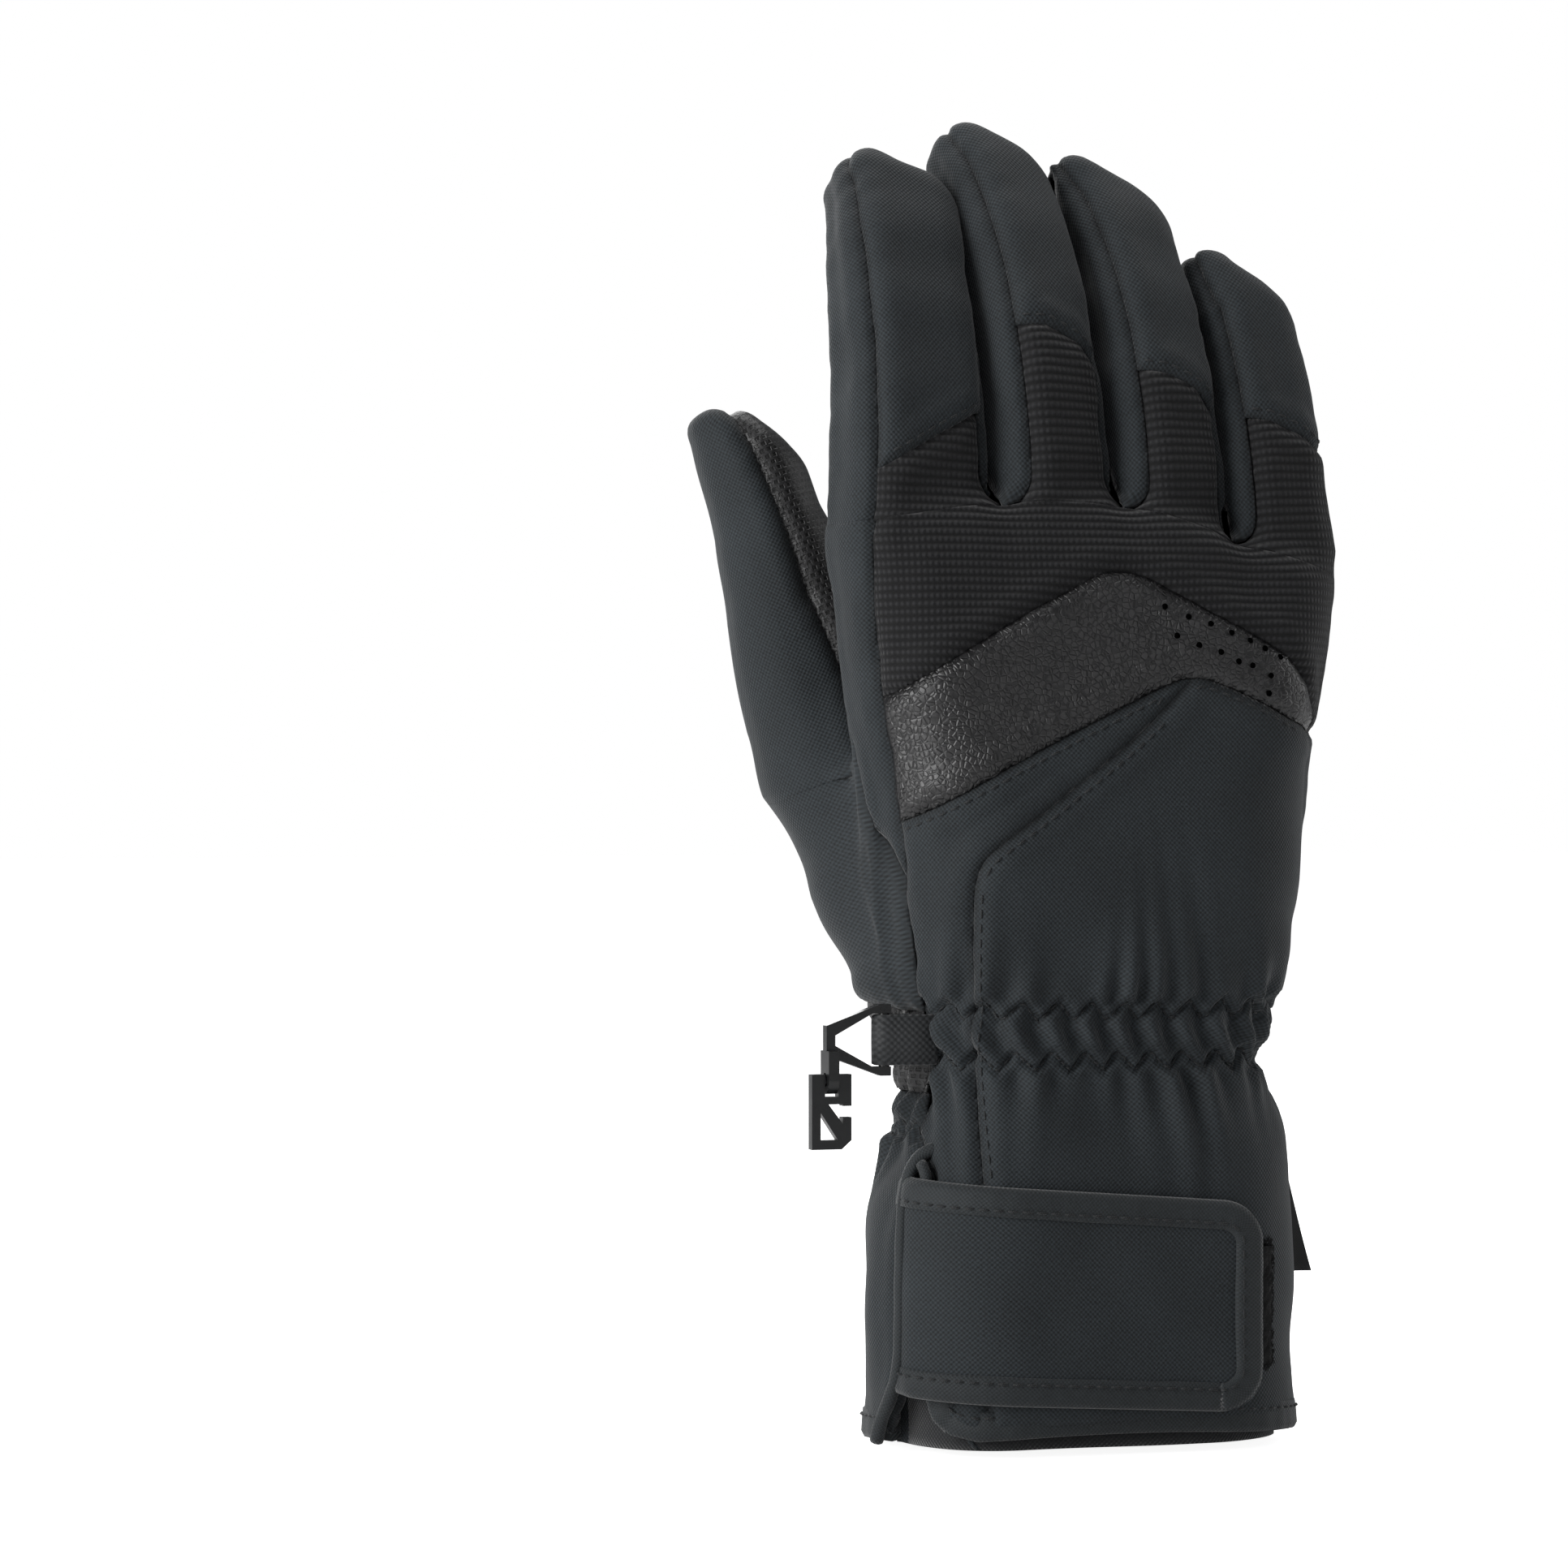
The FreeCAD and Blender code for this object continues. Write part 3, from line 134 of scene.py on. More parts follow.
floor_finish, tree = blank_finish("painted_studio_floor")
rays = add(tree, "LightPath")
paint = add(tree, "BsdfDiffuse", {"Color": linear(FLOOR_HEX)})
glow = add(tree, "Emission", {"Color": (1.0, 1.0, 1.0, 1.0), "Strength": 0.9})
both = add(tree, "AddShader", {0: paint.outputs[0], 1: glow.outputs[0]})
pick = add(tree, "MixShader", {0: rays.outputs["Is Camera Ray"], 1: paint.outputs[0], 2: both.outputs[0]})
add(tree, "OutputMaterial", {"Surface": pick.outputs[0]})
floor_mesh = bpy.data.meshes.new("studio_floor")
floor_corners = [(-6, -6), (6, -6), (6, 9), (-6, 9)]
floor_mesh.from_pydata([(x, y, -FLOOR_DROP) for x, y in floor_corners], [], [(0, 1, 2, 3)])
floor_mesh.materials.append(floor_finish)
studio_floor = bpy.data.objects.new("studio_floor", floor_mesh)
bpy.context.scene.collection.objects.link(studio_floor)

# --------------------------------------------------------------------------- the glove's padded form
# The whole glove is padding inside sewn shells, so its form comes first: rounded tubes for the hand, the
# fingers and the thumb that run into each other the way stuffed fabric does. Millimetres from here on.
# The stations of the hand and cuff: height, reach to the thumb side and to the little side, half depth.
HAND_STATIONS = np.array([
    (-12, 47.6, 47.6, 29.6), (0, 47.8, 47.8, 29.8), (25, 48.2, 47.9, 29.9), (42, 48.2, 48.2, 29.6),
    (54, 46.6, 47.6, 28.6), (66, 43.0, 46.4, 27.0), (78, 40.6, 42.6, 25.6), (88, 40.4, 39.8, 25.2),
    (102, 42.4, 46.0, 25.8), (118, 45.0, 49.2, 26.6), (132, 47.0, 50.6, 26.2), (148, 50.0, 51.2, 24.8),
    (165, 52.6, 53.9, 22.9), (182, 54.2, 56.8, 20.6), (196, 55.2, 58.0, 18.0), (208, 55.8, 57.8, 15.6),
    (222, 55.8, 56.6, 14.0), (240, 55.0, 53.0, 13.2)])
CORNER_SHARE = 0.88
FINGERS = ("index", "middle", "ring", "little")
# Each finger: middle across the hand, height of the joint, width, depth, length, lean, radius of the curl.
FINGER = {"index": (-40.2, 206.0, 34.2, 26.6, 86.0, 2.0, 110.0),
          "middle": (-8.2, 208.0, 28.2, 26.4, 92.4, -1.8, 110.0),
          "ring": (19.3, 205.0, 27.4, 26.0, 87.6, -2.2, 110.0),
          "little": (45.4, 197.0, 26.4, 25.0, 69.0, -2.6, 135.0)}
# How far each finger is turned about its own length, its back towards the little side.
FINGER_ROLL = {"index": 10.0, "middle": 15.0, "ring": 15.0, "little": 12.0}
# How far the last stretch of each finger leans across, and how its tip slopes away from the thumb side.
TIP_BEND_MM = {"index": 2.2, "middle": -2.0, "ring": -3.6, "little": -2.0}
TIP_BEND_OVER_MM = 50
TIP_SKEW = {"index": 0.14, "middle": 0.32, "ring": 0.36, "little": 0.46}
TIP_RIM_MM = 12.6
FINGER_TAPER = 0.18
FINGER_CORNER, THUMB_CORNER = 0.82, 0.93
BETWEEN = {"index": (-90.0, -22.8), "middle": (-22.8, 5.8), "ring": (5.8, 32.6), "little": (32.6, 90.0)}
# The line across the hand where the fingers part, as (across, height) points.
PARTING = np.array([(-90, 198.0), (-55, 202.5), (-22.8, 207.5), (5.8, 207.5), (32.6, 199.5), (58, 191.5),
                    (90, 184.0)])
# A form fades out past a cut at this slope, from a little past it, so that the cut's two sides match.
FADE = 2.5
THUMB_JOINT = np.array([-42.0, 33.5, 150.0])
THUMB_LEAN, THUMB_FORWARD = math.radians(18.9), math.radians(6.0)
THUMB_START = -2.0
PAST_CUT_MM = 1.6
THUMB_REACH = 84.5
THUMB_RIM_MM = 10.5
HEEL_TOP, HEEL_FOOT = (-34.6, 20, 124), (-33.5, 13.5, 106)
FINGER_CREASE_MM, THUMB_CREASE_MM = 6.0, 9.0


def unit(way):
    return np.asarray(way, float) / np.linalg.norm(way)


THUMB_WAY = unit([-math.sin(THUMB_LEAN), math.sin(THUMB_FORWARD) * math.cos(THUMB_LEAN),
                  math.cos(THUMB_FORWARD) * math.cos(THUMB_LEAN)])
THUMB_ACROSS = unit(np.array([1.0, 0.0, 0.0]) - THUMB_WAY[0] * THUMB_WAY)
THUMB_OUT = np.cross(THUMB_WAY, THUMB_ACROSS)


def eased(points, step):
    """A smooth line through a few points, with points about step apart (Catmull-Rom)."""
    p = np.asarray(points, float)
    p = np.vstack([2 * p[0] - p[1], p, 2 * p[-1] - p[-2]])
    line = []
    for a, b, c, d in zip(p, p[1:], p[2:], p[3:]):
        count = max(1, int(np.linalg.norm(c - b) / step))
        for t in np.arange(count) / count:
            line.append(0.5 * (2 * b + (c - a) * t + (2 * a - 5 * b + 4 * c - d) * t ** 2
                               + (3 * b - a - 3 * c + d) * t ** 3))
    return np.array(line + [p[-2]])


HAND_TABLE = eased(HAND_STATIONS, 0.8)


def station(z):
    """The hand's middle, half width and half depth at a height."""
    thumb_reach, little_reach, deep = (np.interp(z, HAND_TABLE[:, 0], HAND_TABLE[:, c]) for c in (1, 2, 3))
    return (little_reach - thumb_reach) / 2, (little_reach + thumb_reach) / 2, deep


def square_corner(a, b):
    """Distance to a square corner, from the distances to its two sides."""
    return np.hypot(np.maximum(a, 0), np.maximum(b, 0)) + np.minimum(np.maximum(a, b), 0)


def tube(u, v, wide, deep, corner):
    """Distance to a rounded rectangle."""
    return square_corner(np.abs(u) - (wide - corner), np.abs(v) - (deep - corner)) - corner


def closed(wall, end, rim):
    """Closes a tube: from its wall's distance and its end's distance, with a rounded rim."""
    return square_corner(wall + rim, end + rim) - rim


def joined(a, b, ease):
    """Two forms run together over a soft crease."""
    h = np.maximum(ease - np.abs(a - b), 0) / ease
    return np.minimum(a, b) - h * h * ease / 4


def limb(x, y, z, start, end, start_radius, end_radius):
    """Distance to a tapering limb between two points."""
    way = np.subtract(end, start)
    t = ((x - start[0]) * way[0] + (y - start[1]) * way[1] + (z - start[2]) * way[2]) / (way @ way)
    t = np.clip(t, 0, 1)
    away = np.sqrt((x - start[0] - t * way[0]) ** 2 + (y - start[1] - t * way[1]) ** 2
                   + (z - start[2] - t * way[2]) ** 2)
    return away - (start_radius + (end_radius - start_radius) * t)


def above_parting(x, z):
    """How far a point lies above the line where the fingers part."""
    return z - np.interp(x, PARTING[:, 0], PARTING[:, 1])


def hand_field(x, y, z):
    """Distance to the hand and cuff, closed on the line where the fingers part."""
    middle, wide, deep = station(z)
    crown = 1.6 * np.maximum(0, 1 - ((x - middle) / wide) ** 2)
    wall = tube(x - middle, y, wide, deep, CORNER_SHARE * deep) - crown + 0.8
    return closed(wall, above_parting(x, z) - 1.2, 6.0)


def finger_place(name, x, y, z):
    """A point in a finger's own terms: across it, from its middle to the palm side, and along it."""
    middle, base, _, _, _, lean, curl = FINGER[name]
    turn = math.radians(lean)
    dx, dz = x - middle, z - base
    across = dx * math.cos(turn) - dz * math.sin(turn)
    up = dx * math.sin(turn) + dz * math.cos(turn)
    bent = up > 0
    along = np.where(bent, curl * np.arctan2(up, curl - y), up)
    outward = np.where(bent, curl - np.hypot(curl - y, up), y)
    leaning = np.clip((along - FINGER[name][4] + TIP_BEND_OVER_MM) / TIP_BEND_OVER_MM, 0, 1)
    across = across - TIP_BEND_MM[name] * leaning ** 2
    roll = np.radians(FINGER_ROLL[name]) * np.clip(along / 14 + 1, 0, 1)
    return (across * np.cos(roll) + outward * np.sin(roll),
            outward * np.cos(roll) - across * np.sin(roll), along)


def finger_sizes(name, along):
    """A finger's half width and half depth along it."""
    _, _, width, depth, length, _, _ = FINGER[name]
    slim = 1 - FINGER_TAPER * np.clip(along, 0, None) / length
    swell = 1 + 0.02 * np.sin(np.clip(along, 0, length) / length * math.pi * 2)
    return width / 2 * slim, depth / 2 * slim * swell


def finger_field(name, x, y, z):
    """Distance to a finger, which thins away below its joint."""
    across, outward, along = finger_place(name, x, y, z)
    wide, deep = finger_sizes(name, along)
    wall = tube(across, outward, wide, deep, FINGER_CORNER * deep) + 0.16 * np.maximum(0, -along)
    skew = TIP_SKEW[name] * np.clip(across, -15, 15) * np.clip(along / 40 - 0.6, 0, 1)
    return closed(wall, along - FINGER[name][4] + skew, TIP_RIM_MM + skew)


def thumb_place(x, y, z):
    """A point in the thumb's own terms: across it towards the pad, out of the palm, and along it."""
    d = (x - THUMB_JOINT[0], y - THUMB_JOINT[1], z - THUMB_JOINT[2])
    return tuple(d[0] * w[0] + d[1] * w[1] + d[2] * w[2] for w in (THUMB_ACROSS, THUMB_OUT, THUMB_WAY))


def thumb_sizes(along):
    """The thumb's half width and half depth along it, and how far it sits towards the pad."""
    stations = [0, 15, 39, 58, 80]
    wide = np.interp(along, stations, [21.3, 20.3, 16.4, 12.6, 10.8])
    deep = np.interp(along, [0, 35, 80], [15.8, 13.8, 11.2])
    return wide, deep, np.interp(along, stations, [0.5, 0.3, 0.2, 0.6, 1.2])


def thumb_field(x, y, z):
    """Distance to the thumb and the heel that it grows from."""
    across, outward, along = thumb_place(x, y, z)
    wide, deep, aside = thumb_sizes(along)
    wall = tube(across - aside, outward, wide, deep, THUMB_CORNER * deep) + 0.35 * np.maximum(0, -along)
    skew = 0.4 * np.clip(across, -14, 14) * np.clip(along / 40 - 0.8, 0, 1)
    top = closed(wall, along - THUMB_REACH + skew, THUMB_RIM_MM + skew)
    heel = joined(limb(x, y, z, HEEL_TOP, tuple(THUMB_JOINT), 19.3, 18.0),
                  limb(x, y, z, HEEL_FOOT, HEEL_TOP, 15.4, 19.3), 4.0)
    return joined(top, heel, 7.0)


def hand_form(x, y, z):
    """The hand and cuff, with stumps that the fingers and the thumb sit over."""
    above = np.maximum(0, above_parting(x, z) - PAST_CUT_MM)
    form = hand_field(x, y, z)
    for name in FINGERS:
        form = joined(form, finger_field(name, x, y, z) + FADE * above, FINGER_CREASE_MM)
    past = np.maximum(0, thumb_place(x, y, z)[2] - THUMB_START - PAST_CUT_MM)
    return joined(form, thumb_field(x, y, z) + FADE * past, THUMB_CREASE_MM)


def finger_form(name, x, y, z):
    """One finger with the web beside it: its neighbours fade out above the parting line."""
    above = np.maximum(0, above_parting(x, z) - PAST_CUT_MM)
    form = hand_field(x, y, z)
    for other in FINGERS:
        fading = 0 if other == name else FADE * above
        form = joined(form, finger_field(other, x, y, z) + fading, FINGER_CREASE_MM)
    return form


def thumb_form(x, y, z):
    """The thumb, with the hand fading out past the thumb's joint."""
    past = np.maximum(0, thumb_place(x, y, z)[2] - THUMB_START - PAST_CUT_MM)
    return joined(hand_field(x, y, z) + FADE * past, thumb_field(x, y, z), THUMB_CREASE_MM)


def slope(form, points, reach=0.3):
    """The outward direction of a form at each point."""
    steps = np.eye(3) * reach
    rise = [form(*(points + s).T) - form(*(points - s).T) for s in steps]
    rise = np.stack(rise, axis=1)
    return rise / np.maximum(np.linalg.norm(rise, axis=1, keepdims=True), 1e-9)


def skin_over(form, low, high, pitch):
    """The skin of a form inside a box, as points and triangles: a point in each cell that it crosses."""
    axes = [np.arange(low[k], high[k] + pitch, pitch) for k in range(3)]
    depth = form(*np.meshgrid(*axes, indexing="ij"))
    inside = depth < 0
    cells = np.zeros([n - 1 for n in inside.shape], np.int8)
    for corner in np.ndindex(2, 2, 2):
        cells += inside[tuple(slice(c, c + n) for c, n in zip(corner, cells.shape))]
    here = np.argwhere((cells > 0) & (cells < 8))
    number = np.full(cells.shape, -1)
    number[tuple(here.T)] = np.arange(len(here))
    total, hits = np.zeros((len(here), 3)), np.zeros(len(here))
    for axis in range(3):
        side = [a for a in range(3) if a != axis]
        for first, second in ((0, 0), (0, 1), (1, 0), (1, 1)):
            start = np.zeros(3, int)
            start[side[0]], start[side[1]] = first, second
            end = start + (np.arange(3) == axis)
            d0, d1 = depth[tuple((here + start).T)], depth[tuple((here + end).T)]
            hit = (d0 < 0) != (d1 < 0)
            share = np.where(hit, d0 / np.where(hit, d0 - d1, 1), 0)
            total += np.where(hit[:, None], start + share[:, None] * (np.arange(3) == axis), 0)
            hits += hit
    points = np.array(low) + (here + total / hits[:, None]) * pitch
    faces = []
    for axis in range(3):
        side = [a for a in range(3) if a != axis]
        cut = [slice(1, -1)] * 3
        cut[axis] = slice(None, -1)
        after = list(cut)
        after[axis] = slice(1, None)
        first, second = inside[tuple(cut)], inside[tuple(after)]
        at = np.argwhere(first != second) + [0 if a == axis else 1 for a in range(3)]
        a, b = (np.arange(3) == s for s in side)
        ring = [number[tuple((at - da * a - db * b).T)] for da, db in ((1, 1), (0, 1), (0, 0), (1, 0))]
        ring = np.stack(ring, axis=1)
        turned = inside[tuple(at.T)] == (axis == 1)
        ring[turned] = ring[turned][:, ::-1]
        faces.append(ring)
    faces = np.concatenate(faces)
    faces = faces[(faces >= 0).all(1)]
    edges = np.concatenate([faces[:, [0, 1]], faces[:, [1, 2]], faces[:, [2, 3]], faces[:, [3, 0]]])
    for _ in range(3):
        mean, count = np.zeros_like(points), np.zeros(len(points))
        for i in (0, 1):
            np.add.at(mean, edges[:, i], points[edges[:, 1 - i]])
            np.add.at(count, edges[:, i], 1)
        inner = (points > np.array(low) + 2 * pitch).all(1) & (points < np.array(high) - 2 * pitch).all(1)
        points = np.where(inner[:, None], 0.5 * points + 0.5 * mean / count[:, None], points)
        points = points - slope(form, points) * form(*points.T)[:, None]
    triangles = np.concatenate([faces[:, [0, 1, 2]], faces[:, [0, 2, 3]]])
    return points, triangles


ON_THE_LINE_MM = 0.04


class Cloth:
    """A skin that is being cut up: its points, their outward ways, its triangles and each one's panel."""

    def __init__(self, points, triangles, out):
        self.points, self.triangles, self.out = points, triangles, out
        self.panel = np.full(len(triangles), "shell", dtype=object)

    def part(self, panel, value, name):
        """Cuts a panel along the line where a value of its points passes zero: below zero becomes name."""
        values = value(self.points)
        values = np.where(np.abs(values) < ON_THE_LINE_MM, 0.0, values)
        mine = np.nonzero(self.panel == panel)[0]
        corner_values = values[self.triangles[mine]]
        low, high = (corner_values < 0).any(1), (corner_values > 0).any(1)
        self.panel[mine[low & ~high]] = name
        split = mine[low & high]
        made, pairs, shares, triangles, panels = {}, [], [], [], []
        for corners in self.triangles[split]:
            below, above = [], []
            for a, b in ((corners[0], corners[1]), (corners[1], corners[2]), (corners[2], corners[0])):
                if values[a] <= 0:
                    below.append(a)
                if values[a] >= 0:
                    above.append(a)
                if values[a] * values[b] < 0:
                    key = (min(a, b), max(a, b))
                    if key not in made:
                        made[key] = len(self.points) + len(pairs)
                        pairs.append(key)
                        shares.append(values[key[0]] / (values[key[0]] - values[key[1]]))
                    below.append(made[key])
                    above.append(made[key])
            for ring, label in ((below, name), (above, panel)):
                for n in range(1, len(ring) - 1):
                    triangles.append((ring[0], ring[n], ring[n + 1]))
                    panels.append(label)
        if not len(split):
            return
        first, second = np.array(pairs, int).reshape(-1, 2).T
        shares = np.array(shares)[:, None]
        self.points = np.vstack([self.points, self.points[first] * (1 - shares) + self.points[second] * shares])
        self.out = np.vstack([self.out, self.out[first] * (1 - shares) + self.out[second] * shares])
        keep = np.ones(len(self.triangles), bool)
        keep[split] = False
        self.triangles = np.vstack([self.triangles[keep], np.array(triangles)])
        self.panel = np.concatenate([self.panel[keep], np.array(panels, dtype=object)])

    def take(self, panel):
        """The points, outward ways and triangles of a panel as a skin of its own."""
        triangles = self.triangles[self.panel == panel]
        used, triangles = np.unique(triangles, return_inverse=True)
        return self.points[used], self.out[used], triangles.reshape(-1, 3)


def cloth_over(form, low, high, pitch):
    """The uncut cloth over a form inside a box."""
    points, triangles = skin_over(form, low, high, pitch)
    return Cloth(points, triangles, slope(form, points))


hand_cloth = cloth_over(hand_form, (-66, -36, -6), (62, 54, 214), 1.0)
finger_cloth = {}
for name in FINGERS:
    left, right = max(BETWEEN[name][0], -60), min(BETWEEN[name][1], 60)
    finger_cloth[name] = cloth_over(lambda x, y, z: finger_form(name, x, y, z),
                                    (left - 3, -22, 184), (right + 3, 58, 302), 0.95)
thumb_cloth = cloth_over(thumb_form, (-84, 0, 138), (-14, 64, 234), 0.95)

# ------------------------------------------------------------------------------------ cutting the panels
# The shell is cut from flat panels whose seams run where a glove maker puts them: up the sides of the
# hand and fingers, round the thumb, across the knuckles for the leather band, and over the wrist.
# Lines on the back and the palm are given across the hand and up it.
BAND_TOP = [(-66, 152), (-49.9, 164.4), (-23.1, 180.6), (-6.5, 189.3), (-1.5, 191.6), (3.5, 192.0), (9.6, 190.4),
            (25.2, 182.4), (39, 175.4), (46, 170), (49.6, 163), (51, 157)]
BAND_LOW = [(42, 160), (33.1, 164.2), (24, 167.8), (19.5, 168.9), (15.75, 168.6), (5.25, 164.2), (-23.1, 150.2),
            (-46.2, 137.2), (-66, 125)]
DIAGONAL = [(18.9, 169.2), (5.25, 156.6), (-13.65, 142.2), (-27.2, 132.4), (-31.2, 128.6), (-32.8, 124),
            (-33.1, 116), (-32.3, 100), (-32, 86), (-31.4, 60), (-31, -20)]
# The seams up the thumb and up the index side, as (height, place across or in depth) points.
THUMB_BACK_SEAM = np.array([(60, -36), (125, -41.5), (150, -44), (169, -47.7), (200, -60), (228, -71.4),
                            (240, -76)])
THUMB_PALM_SEAM = np.array([(80, 8), (122.5, -4.8), (135, -9), (150, -17), (163.7, -25), (186, -37.7), (204, -49.5),
                            (219, -60.5), (228, -67), (240, -75)])
LOBE_EDGE = np.array([(-80, 108), (-60, 103), (-50, 97.5), (-42, 95.5), (-33, 96.5), (-19.5, 102), (-10, 111.5),
                      (-4, 123), (0, 140)])
STRIP_FRONT = np.array([(0, -9), (100, -8), (125, -10), (140, -11), (165, -11.0), (185, -11.4), (204, -12.7),
                        (230, -12.7)])
STRIP_REAR = np.array([(110, -14), (125, -9.9), (135, -3.4), (145, 0.8), (166, 6.4), (200, 8), (230, 8)])
PALM_SEAM_Z = 79.0
HEM_ARCH_MM = 5.0
HEM_CUT_MM = 1.6
# The vent's opening, as (round the cuff, up it) points.
VENT = [(-63, -8), (-60, 2), (-54.8, 10), (-51.8, 17), (-50.4, 26), (-49.9, 40), (-49.7, 55), (-48.8, 60.5),
        (-47.2, 62), (-45.7, 59), (-45.7, 14), (-44.4, 8.6), (-41.6, 5.4), (-37, 3.4), (-33, -8)]


def near(x, z, line):
    """Distance to an open line in a plane."""
    best = np.full(np.shape(x), 1e9)
    for (x0, z0), (x1, z1) in zip(line, line[1:]):
        dx, dz = x1 - x0, z1 - z0
        t = np.clip(((x - x0) * dx + (z - z0) * dz) / max(dx * dx + dz * dz, 1e-9), 0, 1)
        best = np.minimum(best, np.hypot(x - x0 - t * dx, z - z0 - t * dz))
    return best


def within(x, z, outline):
    """Signed distance to a closed outline in a plane: below zero inside it."""
    ring = list(outline) + [outline[0]]
    inside = np.zeros(np.shape(x), bool)
    for (x0, z0), (x1, z1) in zip(ring, ring[1:]):
        if z0 != z1:
            inside ^= ((z0 > z) != (z1 > z)) & (x < x0 + (z - z0) * (x1 - x0) / (z1 - z0))
    best = near(x, z, ring)
    return np.where(inside, -best, best)


def around(u, v, wide, deep, corner, from_palm=False):
    """Arc length round a rounded rectangle, signed, from the middle of its back or of its palm side."""
    v = np.where(from_palm, -v, v)
    q, flat, stand_off, bend = np.abs(u), wide - corner, deep - corner, corner * math.pi / 2
    turn = np.clip(np.arctan2(q - flat, -v - stand_off), 0, math.pi / 2)
    arc = np.where(q < flat, q, flat + corner * turn)
    up_side = flat + bend + np.clip(v + stand_off, 0, 2 * stand_off)
    arc = np.where((q >= flat) & (v > -stand_off), up_side, arc)
    late = np.clip(np.arctan2(v - stand_off, q - flat), 0, math.pi / 2)
    over = np.where(q >= flat, corner * late, bend + flat - q)
    arc = np.where(v > stand_off, flat + bend + 2 * stand_off + over, arc)
    return np.sign(u) * arc


def hand_lay(points, from_palm=False):
    """Where a point of the hand lies on the cloth: round the hand, and up it."""
    middle, wide, deep = station(points[:, 2])
    arc = around(points[:, 0] - middle, points[:, 1], wide, deep, CORNER_SHARE * deep, from_palm)
    return np.stack([arc, points[:, 2], np.zeros(len(arc))], axis=1)


def hem_rise(arc):
    """The hem lies on the table at the palm side and arches up in front."""
    return HEM_ARCH_MM * (0.5 + 0.5 * np.cos(math.pi * np.clip(np.abs(arc) / 115, 0, 1)))


def plane_points(*lines):
    """Some eased lines run together into one outline."""
    return [tuple(p) for line in lines for p in eased(line, 2.0)]


band_outline = plane_points(BAND_TOP, BAND_LOW)
below_band = [(-95.0, -30.0), (-95.0, 125.0)] + plane_points(BAND_LOW)[::-1] + [
    (51.0, 157.0), (95.0, 157.0), (95.0, -30.0)]
thumb_share = [(-95.0, -30.0), (-95.0, 169.2)] + plane_points(DIAGONAL)
vent_outline = plane_points(VENT)


def past_thumb_cut(points):
    return thumb_place(*points.T)[2] - THUMB_START


def thumb_over_hand(points):
    """Below zero where the hand lies outside the thumb."""
    past = np.maximum(past_thumb_cut(points), 0)
    return thumb_field(*points.T) + FADE * past - hand_field(*points.T)


def above_hem(points):
    lay = hand_lay(points)
    return lay[:, 1] - HEM_CUT_MM - hem_rise(lay[:, 0])


def in_vent(points):
    lay = hand_lay(points)
    return within(lay[:, 0], lay[:, 1], vent_outline)


def behind_side_seams(points):
    """Below zero on the back of the hand, in front of its two side seams."""
    x, y, z = points.T
    index_seam = np.interp(z, STRIP_FRONT[:, 0], STRIP_FRONT[:, 1])
    index_seam = np.where(z < 70, np.interp(z, [0, 60, 70], [-17.0, -17.0, -8.5]), index_seam)
    little_seam = np.interp(z, [0, 175, 196], [-3.0, -3.0, -2.0])
    share = np.clip((x + 40) / 80, 0, 1)
    return y - (index_seam * (1 - share) + little_seam * share)


def thumb_softshell(points):
    """Below zero on the softshell side of the thumb's two seams."""
    x, y, z = points.T
    front = np.interp(z, THUMB_BACK_SEAM[:, 0], THUMB_BACK_SEAM[:, 1])
    rear = np.interp(z, THUMB_PALM_SEAM[:, 0], THUMB_PALM_SEAM[:, 1])
    turn = np.clip((y - 24) / 22, 0, 1)
    return 0.85 * (x - (front + (rear - front) * turn))


def thumb_heel(points):
    lobe = np.interp(points[:, 0], LOBE_EDGE[:, 0], LOBE_EDGE[:, 1]) - points[:, 2]
    return np.maximum(thumb_softshell(points), lobe)


def index_gore(points):
    rear = np.interp(points[:, 2], STRIP_REAR[:, 0], STRIP_REAR[:, 1])
    return np.maximum(points[:, 1] - rear, points[:, 0])


for panel, value, name in (
        ("shell", lambda p: -above_parting(p[:, 0], p[:, 2]), "inner"),
        ("shell", lambda p: np.maximum(-past_thumb_cut(p), thumb_over_hand(p)), "inner"),
        ("shell", above_hem, "inner"),
        ("shell", in_vent, "inner"),
        ("shell", behind_side_seams, "back"),
        ("shell", index_gore, "index_strip"),
        ("shell", thumb_heel, "thumb_outer"),
        ("shell", lambda p: p[:, 2] - PALM_SEAM_Z - 0.8 * np.sin(p[:, 0] / 5), "cuff_palm"),
        ("shell", lambda p: np.maximum(p[:, 1] - 11, -p[:, 0]), "little_strip"),
        ("shell", lambda p: np.full(len(p), -1.0), "palm"),
        ("back", lambda p: within(p[:, 0], p[:, 2], band_outline), "band"),
        ("back", lambda p: within(p[:, 0], p[:, 2], below_band), "lower"),
        ("lower", lambda p: within(p[:, 0], p[:, 2], thumb_share), "thumb_side")):
    hand_cloth.part(panel, value, name)

# The lines to which the knit reaches on each finger's back: along the finger against across it.
KNIT_EDGE = {"index": [(-13, 7), (-6, 10.6), (2, 15), (13, 20.5)],
             "middle": [(-13, 36), (-4, 35.4), (4, 32.6), (13, 28)],
             "ring": [(-13, 30.5), (-4, 28.8), (4, 25.6), (13, 20.5)],
             "little": [(-13, 29.5), (-4, 27.6), (4, 24.6), (13, 21)]}
PAD_STEP_MM, PAD_END_MM, PAD_RIM_MM = 4.6, 5.2, 6


